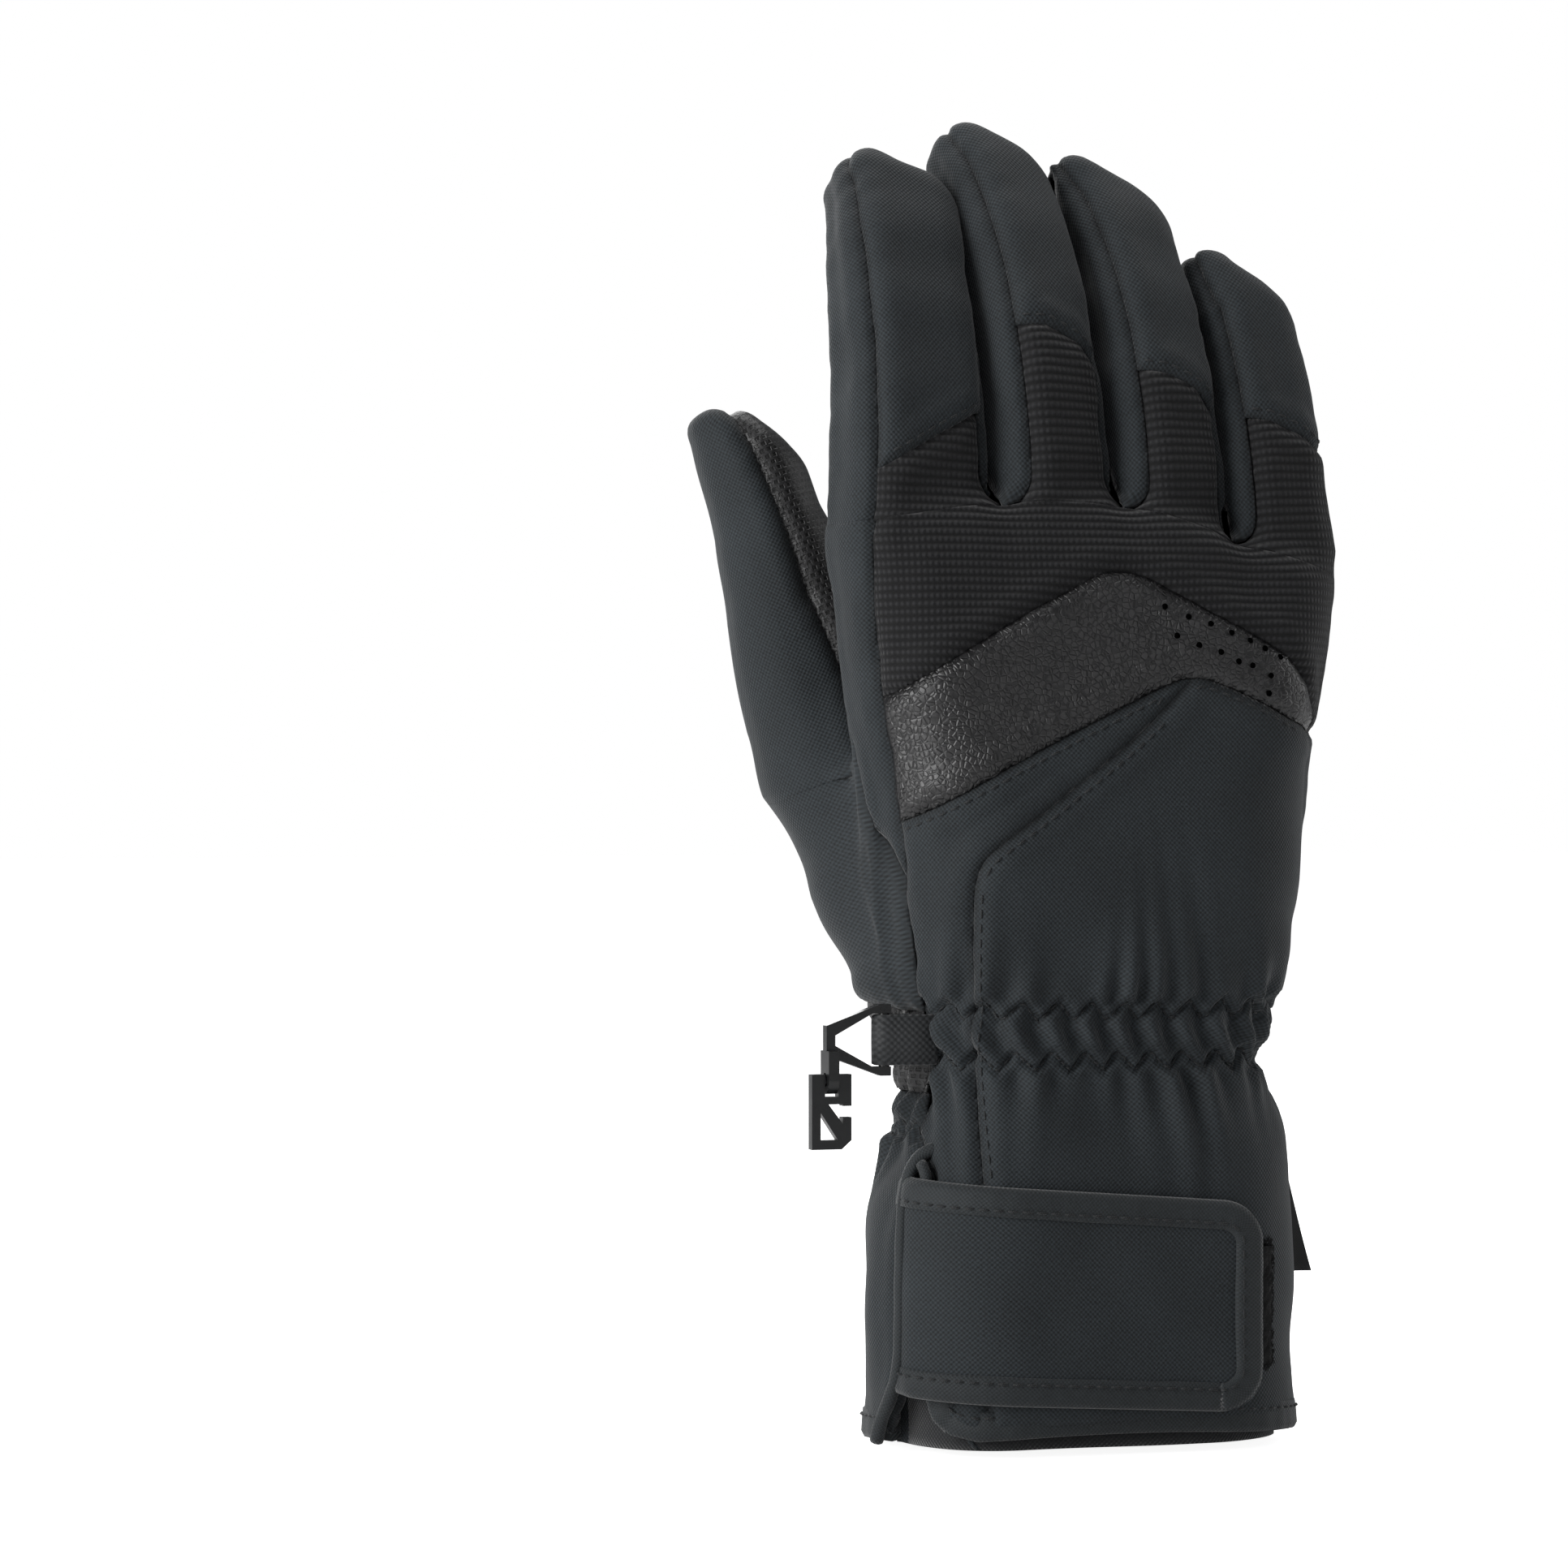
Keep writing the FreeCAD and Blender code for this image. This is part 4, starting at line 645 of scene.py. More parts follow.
def finger_back_part(name, points):
    """Below zero on a finger's back: its seams drop towards the tip, further on the little side."""
    across, outward, along = finger_place(name, *points.T)
    _, deep = finger_sizes(name, along)
    length = FINGER[name][4]
    steps = [-30, 0, 55, length - 14, length - 2, length + 4]
    near_side = np.interp(along, steps, [2.6, 2.8, 3.2, 3.8, 6.0, 8.5])
    far_side = np.interp(along, steps, [2.6, 2.8, 5.4, 7.0, 15.5, 17.5])
    front = -deep + near_side + (far_side - near_side) * np.clip(across / 10 + 0.5, 0, 1)
    if name == "little":
        side_seam = np.interp(along, [-8, 0, 30, 60], [-4.6, -4.6, -5.2, -4.4])
        front = np.where(across > 0, np.maximum(front, side_seam), front)
    return outward - front


def finger_pad_part(name, points):
    """Below zero on a finger's leather front, round at its end."""
    across, outward, along = finger_place(name, *points.T)
    _, deep = finger_sizes(name, along)
    inner, end = deep - PAD_STEP_MM - outward, along - (FINGER[name][4] - PAD_END_MM)
    pad = np.hypot(np.maximum(inner + PAD_RIM_MM, 0), np.maximum(end + PAD_RIM_MM, 0)) - PAD_RIM_MM
    if name == "little":
        pad = np.where((across > 0) & (along < 20), np.maximum(pad, 11 - outward), pad)
    return pad


def past_knit(name, across, along):
    """How far a point of a finger's back lies past the knit's edge."""
    edge = np.array(KNIT_EDGE[name])
    return along - np.interp(across, edge[:, 0], edge[:, 1])


def knit_part(name, points):
    across, _, along = finger_place(name, *points.T)
    return past_knit(name, across, along)


for name in FINGERS:
    cloth = finger_cloth[name]
    cloth.part("shell", lambda p: above_parting(p[:, 0], p[:, 2]), "inner")
    for side, edge in zip((1, -1), BETWEEN[name]):
        cloth.part("shell", lambda p: np.maximum(side * (p[:, 0] - edge), above_parting(p[:, 0], p[:, 2]) - 7),
                   "inner")
    cloth.part("shell", lambda p: finger_back_part(name, p), "back")
    cloth.part("shell", lambda p: finger_pad_part(name, p), "palm")
    cloth.part("back", lambda p: knit_part(name, p), "knit")

thumb_cloth.part("shell", past_thumb_cut, "inner")
thumb_cloth.part("shell", lambda p: (hand_field(*p.T) + FADE * np.maximum(past_thumb_cut(p), 0))
                 - thumb_field(*p.T), "inner")
thumb_cloth.part("shell", thumb_softshell, "outer")

# ------------------------------------------------------------------- sewing panels, and the softshell
# Softshell is a tightly woven polyester face on fleece, dull and a little blue, in an ottoman weave whose
# cross ribs show as fine crosswise ticks. Every panel rolls in at its seams and is proud beside them.
SOFTSHELL_DARK_HEX, SOFTSHELL_LIGHT_HEX = "020405", "292f33"
WEAVE_MM = 1.05   # the real rib is about 0.5 mm, drawn coarser so that it shows
PANEL_THICK_MM = 1.1
SEAM_DIP_MM, SEAM_WIDE_MM = 1.02, 1.2
PROUD_MM, PROUD_AT_MM, PROUD_WIDE_MM = 0.42, 4.2, 2.4
PUCKER_MM, STUFFING_MM = 0.2, 0.34
FINGER_BLEND_MM, THUMB_BLEND_MM = 24.0, 22.0
JOINT_LINE_MM, IN_BINDING_MM = 0.08, 1.7
WRIST_ROWS_MM, WRIST_TOOTH_MM = (85.5, 96.3), 8.2
PALM_ROW_MM, PALM_TOOTH_MM = 70.0, 8.0


def ripple(points, length, seed, count=14):
    """A smooth uneven height of about one either way, with waves about that long."""
    random = np.random.default_rng(seed)
    total = np.zeros(len(points))
    for _ in range(count):
        way = unit(random.normal(size=3)) * 2 * math.pi / (length * random.uniform(0.7, 1.5))
        total += np.sin(points @ way + random.uniform(0, 2 * math.pi))
    return total / math.sqrt(count / 2) / 1.4


def rim_distance(points, triangles, loose):
    """Distance from each point to the panel's sewn edge; loose marks edge points that aren't sewn."""
    edges = np.sort(np.concatenate([triangles[:, [0, 1]], triangles[:, [1, 2]], triangles[:, [2, 0]]]), axis=1)
    single, count = np.unique(edges, axis=0, return_counts=True)
    rim = np.unique(single[count == 1])
    rim = rim[~loose[rim]]
    if not len(rim):
        return np.full(len(points), 99.0)
    tree = KDTree(len(rim))
    for i in rim:
        tree.insert(points[i], i)
    tree.balance()
    return np.array([tree.find(p)[2] for p in points])


def solid_piece(name, points, triangles, finish, lay, edge=None, thick=0.0):
    """A mesh object in metres from points in millimetres, with its place on the cloth kept for its finish."""
    mesh = bpy.data.meshes.new(name)
    mesh.from_pydata((np.asarray(points) * MM).tolist(), [], [tuple(int(i) for i in t) for t in triangles])
    mesh.polygons.foreach_set("use_smooth", [True] * len(mesh.polygons))
    kept_lay = mesh.attributes.new("lay", "FLOAT_VECTOR", "POINT")
    kept_lay.data.foreach_set("vector", np.asarray(lay, np.float32).ravel())
    edge = np.full(len(points), 9.0) if edge is None else edge
    kept_edge = mesh.attributes.new("edge", "FLOAT", "POINT")
    kept_edge.data.foreach_set("value", np.asarray(edge, np.float32))
    mesh.materials.append(finish)
    made = bpy.data.objects.new(name, mesh)
    bpy.context.scene.collection.objects.link(made)
    if thick:
        layer = made.modifiers.new("cloth_thickness", "SOLIDIFY")
        layer.thickness = thick * MM
        layer.offset = -1.0
    return made


def parting_blend(name):
    """Two points on a finger's cloth: on the parting line, and some way up the finger."""
    middle, beside_mm = FINGER[name][0], 6
    low, high = (np.interp(middle + side, PARTING[:, 0], PARTING[:, 1]) for side in (-beside_mm, beside_mm))
    up = unit([-(high - low) / (2 * beside_mm), 0, 1])
    start = np.array([middle, 0, (low + high) / 2])
    return start, start + up * FINGER_BLEND_MM


def settle(made, body, *nodes):
    """Fastens a piece to its body, or bakes the place of finger and thumb cloth into its mesh, and puts it in
    the place of the CAD's nodes."""
    if body in FINGERS or body == "thumb":
        start = THUMB_JOINT + THUMB_WAY * THUMB_START
        end = start + THUMB_WAY * THUMB_BLEND_MM
        if body in FINGERS:
            start, end = parting_blend(body)
        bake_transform(made)
    else:
        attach(made, body)
    if nodes:
        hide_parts(*nodes)
    return made


def loose_edge(points):
    """Edge points that aren't sewn: on the finger and thumb joints, and inside the hem binding."""
    loose = np.abs(above_parting(points[:, 0], points[:, 2])) < JOINT_LINE_MM
    loose |= np.abs(thumb_place(*points.T)[2] - THUMB_START) < JOINT_LINE_MM
    return loose | (points[:, 2] < IN_BINDING_MM)


def finger_lay(name, points, from_palm=False):
    """Where a point of a finger lies on the cloth: round the finger, and along it."""
    across, outward, along = finger_place(name, *points.T)
    wide, deep = finger_sizes(name, along)
    arc = around(across, outward, wide, deep, FINGER_CORNER * deep, from_palm)
    return np.stack([FINGER[name][0] + arc, FINGER[name][1] + along, np.zeros(len(arc))], axis=1)


def thumb_lay(points, from_palm=False):
    """Where a point of the thumb lies on the cloth: round the thumb, and along it."""
    across, outward, along = thumb_place(*points.T)
    wide, deep, aside = thumb_sizes(along)
    arc = around(across - aside, outward, wide, deep, THUMB_CORNER * deep, from_palm)
    return np.stack([arc, THUMB_JOINT[2] + along, np.zeros(len(arc))], axis=1)


def sew(name, source, panel, body, finish, lay, nodes, relief=None):
    """Makes a panel into a piece: rolled in at its seams, uneven as stuffed cloth is, and given a thickness."""
    points, out, triangles = source.take(panel)
    edge = rim_distance(points, triangles, loose_edge(points))
    at = lay(points)
    height = -SEAM_DIP_MM * np.exp(-(edge / SEAM_WIDE_MM) ** 2)
    height += PROUD_MM * np.exp(-((edge - PROUD_AT_MM) / PROUD_WIDE_MM) ** 2)
    height += PUCKER_MM * ripple(points, 6.0, 3) * np.exp(-edge / 4.0) + STUFFING_MM * ripple(points, 26.0, 5)
    if relief is not None:
        height += relief(points, at, edge)
    points = points + out * height[:, None]
    made = solid_piece(name, points, triangles, finish, at, edge, PANEL_THICK_MM)
    settle(made, body, *nodes)
    return {"points": points, "out": out, "triangles": triangles, "lay": at, "edge": edge, "piece": made}


def weave_height(tree, vector, thread_mm):
    """The up and down of a plain weave at a thread spacing, from 0 to 1."""
    waves = [add(tree, "TexWave", {"Vector": vector, "Scale": 0.3142 / thread_mm, "Distortion": 0.35,
                                   "Detail": 1.0, "Detail Scale": 1.5}, bands_direction=way) for way in "XY"]
    low = [add(tree, "Math", {0: w.outputs["Fac"], 1: 0.5}, operation="SUBTRACT") for w in waves]
    cross = add(tree, "Math", {0: low[0].outputs[0], 1: low[1].outputs[0]}, operation="MULTIPLY")
    return add(tree, "Math", {0: cross.outputs[0], 1: 2.0, 2: 0.5}, operation="MULTIPLY_ADD").outputs[0]


def cloth_finish(name, dark_hex, light_hex, thread_mm, rough, sheen, bump_mm, seam_shade=0.55):
    """A woven finish: its threads, an uneven dye, painted shade darker towards its seams, with a dull sheen."""
    finish, tree = blank_finish(name)
    lay = add(tree, "Attribute", attribute_name="lay").outputs["Vector"]
    edge = add(tree, "Attribute", attribute_name="edge").outputs["Fac"]
    thread = weave_height(tree, lay, thread_mm)
    fibre = add(tree, "TexNoise", {"Vector": lay, "Scale": 1.4, "Detail": 3.0, "Roughness": 0.6}).outputs["Fac"]
    cloud = add(tree, "TexNoise", {"Vector": lay, "Scale": 0.045, "Detail": 2.0}).outputs["Fac"]
    tone = add(tree, "Math", {0: thread, 1: 0.7, 2: -0.1}, operation="MULTIPLY_ADD").outputs[0]
    tone = add(tree, "Math", {0: fibre, 1: 0.8, 2: tone}, operation="MULTIPLY_ADD").outputs[0]
    tone = add(tree, "Math", {0: cloud, 1: 0.35, 2: tone}, operation="MULTIPLY_ADD").outputs[0]
    tone = add(tree, "MapRange", {"Value": tone, "From Min": 0.4, "From Max": 1.25}).outputs["Result"]
    dye = add(tree, "Mix", {0: tone, 6: linear(dark_hex), 7: linear(light_hex)}, data_type="RGBA").outputs[2]
    # Painted shade: the colour darkens towards the panel's sewn edges, where its seams roll in.
    seam = add(tree, "MapRange", {"Value": edge, "From Min": 0.0, "From Max": 1.6, "To Min": seam_shade,
                                  "To Max": 1.0}).outputs["Result"]
    dye = add(tree, "VectorMath", {0: dye, "Scale": seam}, operation="SCALE").outputs[0]
    dull = add(tree, "MapRange", {"Value": fibre, "To Min": rough - 0.08,
                                  "To Max": rough + 0.08}).outputs["Result"]
    relief = add(tree, "Math", {0: fibre, 1: 0.35, 2: thread}, operation="MULTIPLY_ADD").outputs[0]
    bump = add(tree, "Bump", {"Height": relief, "Strength": 0.6, "Distance": bump_mm * MM}).outputs[0]
    skin = add(tree, "BsdfPrincipled", {"Base Color": dye, "Roughness": dull, "Normal": bump, "IOR": 1.5,
                                        "Specular IOR Level": 0.32, "Sheen Weight": sheen,
                                        "Sheen Roughness": 0.45})
    add(tree, "OutputMaterial", {"Surface": skin.outputs[0]})
    return finish


softshell = cloth_finish("softshell_ottoman_weave", SOFTSHELL_DARK_HEX, SOFTSHELL_LIGHT_HEX, WEAVE_MM,
                         0.8, 0.12, 0.22)


def zigzag(round_at, tooth):
    """An elastic row's teeth: how many have passed on the way round, and how high its line is there."""
    phase = round_at / tooth + 0.16 * np.sin(round_at / 12.0)
    return phase, 2.1 * (2 * np.abs(2 * (phase % 1) - 1) - 1)


def gathered(round_at, up, low, high, tooth):
    """Cloth drawn in by zigzag elastic rows: teeth pulled in, slanting puffs between and folds fanning out."""
    phase, zig = zigzag(round_at, tooth)
    height = -1.9 * np.exp(-((up - low - zig) / 1.2) ** 2)
    if high > low:
        height += -1.9 * np.exp(-((up - high - zig) / 1.2) ** 2)
        middle = (low + high) / 2
        slant = np.cos(2 * math.pi * (phase + (up - middle) / 15.0))
        height += 1.9 * np.exp(-((up - middle) / 4.4) ** 2) * (0.3 + slant)
    for side, row in ((1, high), (-1, low)):
        away = np.maximum(side * (up - row), 0)
        uneven = 1 + 0.5 * np.sin(round_at / 5.3 + side) + 0.35 * np.sin(round_at / 2.9 + 2)
        fan = 1.9 * uneven * np.exp(-away / (7.5 + 4.0 * np.sin(round_at / 9.0)))
        fan *= 1 - np.exp(-(away / 2.2) ** 2)
        lean = 0.02 * side * away * np.sin(round_at / 11.0)
        height += fan * np.cos(2 * math.pi * (phase + 0.5 * (side < 0) + lean) + 0.5 * np.sin(round_at / 7.0))
        height += 0.9 * np.exp(-((away - 13) / 7) ** 2) * np.sin(round_at / 6.1 + side) * (high > low)
    return height


def back_relief(points, at, edge):
    """The wrist's two gathered rows."""
    return gathered(at[:, 0], at[:, 1], *WRIST_ROWS_MM, WRIST_TOOTH_MM)


def cuff_palm_relief(points, at, edge):
    """One gathered row, and the bulge of the flap behind the vent."""
    back_arc = hand_lay(points)[:, 0]
    flap = np.exp(-((back_arc + 66) / 7) ** 2) * np.sin(math.pi * np.clip(points[:, 2] / 64, 0, 1))
    return gathered(at[:, 0], at[:, 1], PALM_ROW_MM, PALM_ROW_MM, PALM_TOOTH_MM) + 2.2 * flap


def hand_palm_lay(points):
    return hand_lay(points, True)


main = sew("hand_back_main", hand_cloth, "lower", "hand", softshell, hand_lay,
           ("back_panel_main", "padding_back", "wrist_elastic"), back_relief)
thumb_part = sew("hand_back_thumb_side", hand_cloth, "thumb_side", "hand", softshell, hand_lay,
                 ("back_panel_thumb_side",), back_relief)
sew("index_side_gore", hand_cloth, "index_strip", "hand", softshell, hand_lay, ("index_side_strip",))
sew("little_side_gore", hand_cloth, "little_strip", "hand", softshell, hand_lay, ("little_side_strip",))
cuff_palm = sew("cuff_palm_cloth", hand_cloth, "cuff_palm", "hand", softshell, hand_palm_lay,
                ("cuff_palm_panel",), cuff_palm_relief)
sew("thumb_heel_cloth", hand_cloth, "thumb_outer", "hand", softshell, thumb_lay,
    ("thumb_base_shell", "thumb_base_padding", "thumb_base_lining"))
sew("thumb_outer_cloth", thumb_cloth, "outer", "thumb", softshell, thumb_lay,
    ("thumb_back_panel", "thumb_padding", "thumb_lining"))
finger_back = {}
for name in FINGERS:
    finger_back[name] = sew(f"{name}_back_cloth", finger_cloth[name], "back", name, softshell,
                            lambda p: finger_lay(name, p),
                            (f"{name}_back_panel", f"{name}_padding", f"{name}_lining"))
    sew(f"{name}_side_cloth", finger_cloth[name], "shell", name, softshell, lambda p: finger_lay(name, p),
        (f"{name}_sides",))

# ------------------------------------------------------------------------------------ the knuckle knit
# A stretch rib knit in near-black polyester over the knuckles, so that the fist can close: crosswise ribs,
# each a row of small upright loops, sewn under the softshell on the fingers and under the leather band.
KNIT_DARK_HEX, KNIT_LIGHT_HEX = "030304", "1f1f21"
RIB_MM, LOOP_MM = 1.75, 1.3

knit, tree = blank_finish("rib_knit_polyester")
lay = add(tree, "Attribute", attribute_name="lay").outputs["Vector"]
rib = add(tree, "TexWave", {"Vector": lay, "Scale": 0.3142 / RIB_MM, "Distortion": 0.5, "Detail": 1.0,
                            "Detail Scale": 0.4}, bands_direction="Y").outputs["Fac"]
loop = add(tree, "TexWave", {"Vector": lay, "Scale": 0.3142 / LOOP_MM, "Distortion": 0.8, "Detail": 1.0,
                             "Detail Scale": 0.8}, bands_direction="X").outputs["Fac"]
fuzz = add(tree, "TexNoise", {"Vector": lay, "Scale": 2.2, "Detail": 3.0}).outputs["Fac"]
loop = add(tree, "Math", {0: loop, 1: 0.42, 2: 0.58}, operation="MULTIPLY_ADD").outputs[0]
rows = add(tree, "Math", {0: rib, 1: loop}, operation="MULTIPLY").outputs[0]
rows = add(tree, "Math", {0: fuzz, 1: 0.22, 2: rows}, operation="MULTIPLY_ADD").outputs[0]
tone = add(tree, "MapRange", {"Value": rows, "From Min": 0.15, "From Max": 1.05}).outputs["Result"]
dye = add(tree, "Mix", {0: tone, 6: linear(KNIT_DARK_HEX), 7: linear(KNIT_LIGHT_HEX)},
          data_type="RGBA").outputs[2]
bump = add(tree, "Bump", {"Height": rows, "Strength": 0.9, "Distance": 0.6 * MM}).outputs[0]
skin = add(tree, "BsdfPrincipled", {"Base Color": dye, "Roughness": 0.82, "Normal": bump, "IOR": 1.5,
                                    "Specular IOR Level": 0.25, "Sheen Weight": 0.08, "Sheen Roughness": 0.5})
add(tree, "OutputMaterial", {"Surface": skin.outputs[0]})


def valleys(points, at, edge):
    """The soft hollows that run down from between the fingers."""
    x, z = points[:, 0], points[:, 2]
    hollow = np.zeros(len(points))
    for middle, foot in PARTING[2:5]:
        hollow += np.exp(-((x - middle) / 5.0) ** 2) * np.exp(-np.clip(foot - z, 0, None) / 13.0)
    return -1.3 * hollow * (points[:, 1] < 0)


sew("knuckle_knit_cloth", hand_cloth, "back", "hand", knit, hand_lay, ("knuckle_knit",), valleys)
for name in FINGERS:
    sew(f"{name}_knit_cloth", finger_cloth[name], "knit", name, knit, lambda p: finger_lay(name, p),
        (f"{name}_knit",), valleys)

# --------------------------------------------------------------------------------------- the leathers
# The band over the knuckles is goat leather with a pebbled grain, bare, with a few punched holes towards
# the little finger. The palm, finger fronts and thumb pad are synthetic leather embossed all over with
# small square pits, softer and slightly shiny where it is stretched.
BAND_DARK_HEX, BAND_LIGHT_HEX = "0b0b0c", "1f1e1f"
# The pits' colour is painted shade in their hollows.
PALM_DARK_HEX, PALM_LIGHT_HEX, PIT_SHADE_HEX = "161617", "302f30", "040404"
GRAIN_MM = 1.25
BAND_PROUD_MM = 0.35
PIT_PITCH_MM, PIT_ROW_MM = 1.6, 1.5


def leather_finish(name, dark_hex, light_hex, rough, grain_mm, grain_depth, pits):
    """A leather: pebble grain, lighter on its high spots and darker in its creases as painted shade, with embossed
    pits painted dark as shade where it has them.
    """
    finish, tree = blank_finish(name)
    lay = add(tree, "Attribute", attribute_name="lay").outputs["Vector"]
    edge = add(tree, "Attribute", attribute_name="edge").outputs["Fac"]
    crease = add(tree, "TexVoronoi", {"Vector": lay, "Scale": 1 / grain_mm, "Randomness": 1.0},
                 feature="DISTANCE_TO_EDGE").outputs["Distance"]
    crease = add(tree, "MapRange", {"Value": crease, "From Min": 0.0, "From Max": 0.22},
                 interpolation_type="SMOOTHSTEP").outputs["Result"]
    fine = add(tree, "TexNoise", {"Vector": lay, "Scale": 1.1, "Detail": 4.0, "Roughness": 0.6}).outputs["Fac"]
    cloud = add(tree, "TexNoise", {"Vector": lay, "Scale": 0.06, "Detail": 3.0}).outputs["Fac"]
    high = add(tree, "Math", {0: crease, 1: grain_depth, 2: 0.0}, operation="MULTIPLY_ADD").outputs[0]
    high = add(tree, "Math", {0: fine, 1: 0.3, 2: high}, operation="MULTIPLY_ADD").outputs[0]
    # The grain's height also sets the colour: painted shade, darker in its creases; the cloud is uneven tone.
    tone = add(tree, "Math", {0: cloud, 1: 0.9, 2: high}, operation="MULTIPLY_ADD").outputs[0]
    tone = add(tree, "MapRange", {"Value": tone, "From Min": 0.45, "From Max": 1.5}).outputs["Result"]
    dye = add(tree, "Mix", {0: tone, 6: linear(dark_hex), 7: linear(light_hex)}, data_type="RGBA").outputs[2]
    if pits:
        scaled = add(tree, "VectorMath", {0: lay, "Scale": 0.5 / PIT_PITCH_MM}, operation="SCALE").outputs[0]
        flat = add(tree, "TexBrick", {"Vector": scaled, "Scale": 1.0, "Mortar Size": 0.13, "Mortar Smooth": 0.35,
                                      "Brick Width": 0.5, "Row Height": 0.5 * PIT_ROW_MM / PIT_PITCH_MM},
                   offset=0.5, squash=1.0).outputs["Fac"]
        # The pits are painted dark: painted shade in their hollows.
        dye = add(tree, "Mix", {0: flat, 6: linear(PIT_SHADE_HEX), 7: dye}, data_type="RGBA").outputs[2]
        high = add(tree, "Math", {0: flat, 1: 3.0, 2: high}, operation="MULTIPLY_ADD").outputs[0]
    # Painted shade: the colour darkens towards the sewn edges, where the seams roll in.
    seam = add(tree, "MapRange", {"Value": edge, "From Min": 0.0, "From Max": 1.4, "To Min": 0.6,
                                  "To Max": 1.0}).outputs["Result"]
    dye = add(tree, "VectorMath", {0: dye, "Scale": seam}, operation="SCALE").outputs[0]
    dull = add(tree, "MapRange", {"Value": fine, "To Min": rough - 0.07,
                                  "To Max": rough + 0.1}).outputs["Result"]
    bump = add(tree, "Bump", {"Height": high, "Strength": 0.7, "Distance": 0.16 * MM}).outputs[0]
    skin = add(tree, "BsdfPrincipled", {"Base Color": dye, "Roughness": dull, "Normal": bump, "IOR": 1.48,
                                        "Specular IOR Level": 0.5})
    add(tree, "OutputMaterial", {"Surface": skin.outputs[0]})
    return finish


band_leather = leather_finish("pebbled_goat_leather", BAND_DARK_HEX, BAND_LIGHT_HEX, 0.36, GRAIN_MM, 1.2, False)
palm_leather = leather_finish("pitted_synthetic_leather", PALM_DARK_HEX, PALM_LIGHT_HEX, 0.42, 1.0, 0.3, True)
band = sew("knuckle_leather_band", hand_cloth, "band", "hand", band_leather, hand_lay, ("knuckle_band",),
           lambda p, at, edge: np.full(len(p), BAND_PROUD_MM))

# The stitched lines that let the palm fold, as (across, height) points.
PALM_LINES = [eased(line, 2.0) for line in (
    [(54, 182.5), (38, 188.5), (23, 192), (2.8, 190.5), (-20, 192), (-40, 194.5)],
    [(54, 154), (34, 162.5), (15.4, 167.5), (4, 166.4), (-7.6, 162.4)],
    [(54, 130), (36, 139), (20.5, 143.5), (9, 141.5), (-3, 134.5)],
    [(-4.4, 123), (-7, 140), (-9.6, 153.6), (-16, 161.5), (-27, 167)])]


def palm_relief(points, at, edge):
    """The stitched lines that let the palm fold, the puckers above the wrist, and creases across the hand."""
    x, z = points[:, 0], points[:, 2]
    height = np.zeros(len(points))
    for line in PALM_LINES:
        away = near(x, z, line)
        height += -0.9 * np.exp(-(away / 1.1) ** 2) + 0.3 * np.exp(-((away - 4) / 2.4) ** 2)
    height *= np.clip((points[:, 1] - 4) / 6, 0, 1)
    fading = np.exp(-np.clip(z - PALM_SEAM_Z, 0, None) / 9.0)
    return height + 1.3 * fading * np.cos(2 * math.pi * at[:, 0] / 6.5 + np.sin(z / 4))


def pad_relief(points, at, edge):
    """Creases where a finger's front folds, at these heights and depths."""
    height = np.zeros(len(points))
    for up, depth in ((228.0, 0.5), (231.0, 0.35), (251.0, 0.4)):
        height -= depth * np.exp(-((at[:, 1] - up - 1.5 * np.sin(points[:, 0] / 5)) / 1.6) ** 2)
    return height * np.clip(edge / 3, 0, 1)


palm = sew("palm_leather_panel", hand_cloth, "palm", "hand", palm_leather, hand_palm_lay,
           ("palm_panel", "palm_patch", "padding_palm"), palm_relief)
sew("thumb_pad_leather", thumb_cloth, "shell", "thumb", palm_leather, thumb_lay,
    ("thumb_palm_panel",))
for name in FINGERS:
    sew(f"{name}_palm_leather", finger_cloth[name], "palm", name, palm_leather,
        lambda p: finger_lay(name, p, True), (f"{name}_palm_panel",), pad_relief)

# ------------------------------------------------------------------------------------ thread and stitches
# Bonded polyester thread, near black, in lockstitch rows: each stitch is a short length that lies on the
# cloth between two needle holes. The rows run beside the seams and in zigzags over the wrist's elastic.
THREAD_DARK_HEX, THREAD_LIGHT_HEX = "08090a", "1d2022"
STITCH_PITCH_MM, ELASTIC_PITCH_MM, STITCH_MM, THREAD_MM = 3.2, 2.9, 2.5, 0.52
SEAM_ALLOWANCE_MM = 2.0


def disc(corners):
    """A round outline of one unit's radius."""
    return np.array([(math.cos(a), math.sin(a)) for a in np.arange(corners) * 2 * math.pi / corners])


thread = cloth_finish("bonded_thread", THREAD_DARK_HEX, THREAD_LIGHT_HEX, 0.5, 0.6, 0.1, 0.1, seam_shade=1.0)


def tubes(name, finish, grid, lay=None):
    """Closed tubes from a grid of points: which tube, how far along it, and round it."""
    many, rows, ring = grid.shape[:3]
    faces = []
    for n in range(many):
        first = n * rows * ring
        for r in range(rows - 1):
            for k in range(ring):
                a, b = first + r * ring + k, first + r * ring + (k + 1) % ring
                faces.append((a, b, b + ring, a + ring))
        faces.append(tuple(range(first + ring - 1, first - 1, -1)))
        faces.append(tuple(range(first + (rows - 1) * ring, first + rows * ring)))
    if lay is None:
        step = np.linalg.norm(np.diff(grid[:, :, 0], axis=1), axis=2)
        along = np.concatenate([np.zeros((many, 1)), np.cumsum(step, axis=1)], axis=1)
        round_it = np.cumsum(np.linalg.norm(np.diff(grid, axis=2, prepend=grid[:, :, :1]), axis=3), axis=2)
        lay = np.stack([np.repeat(along[:, :, None], ring, 2), round_it, np.zeros((many, rows, ring))], axis=3)
    made = solid_piece(name, grid.reshape(-1, 3), faces, finish, lay.reshape(-1, 3))
    outer = bmesh.new()
    outer.from_mesh(made.data)
    bmesh.ops.recalc_face_normals(outer, faces=outer.faces)
    outer.to_mesh(made.data)
    outer.free()
    return made


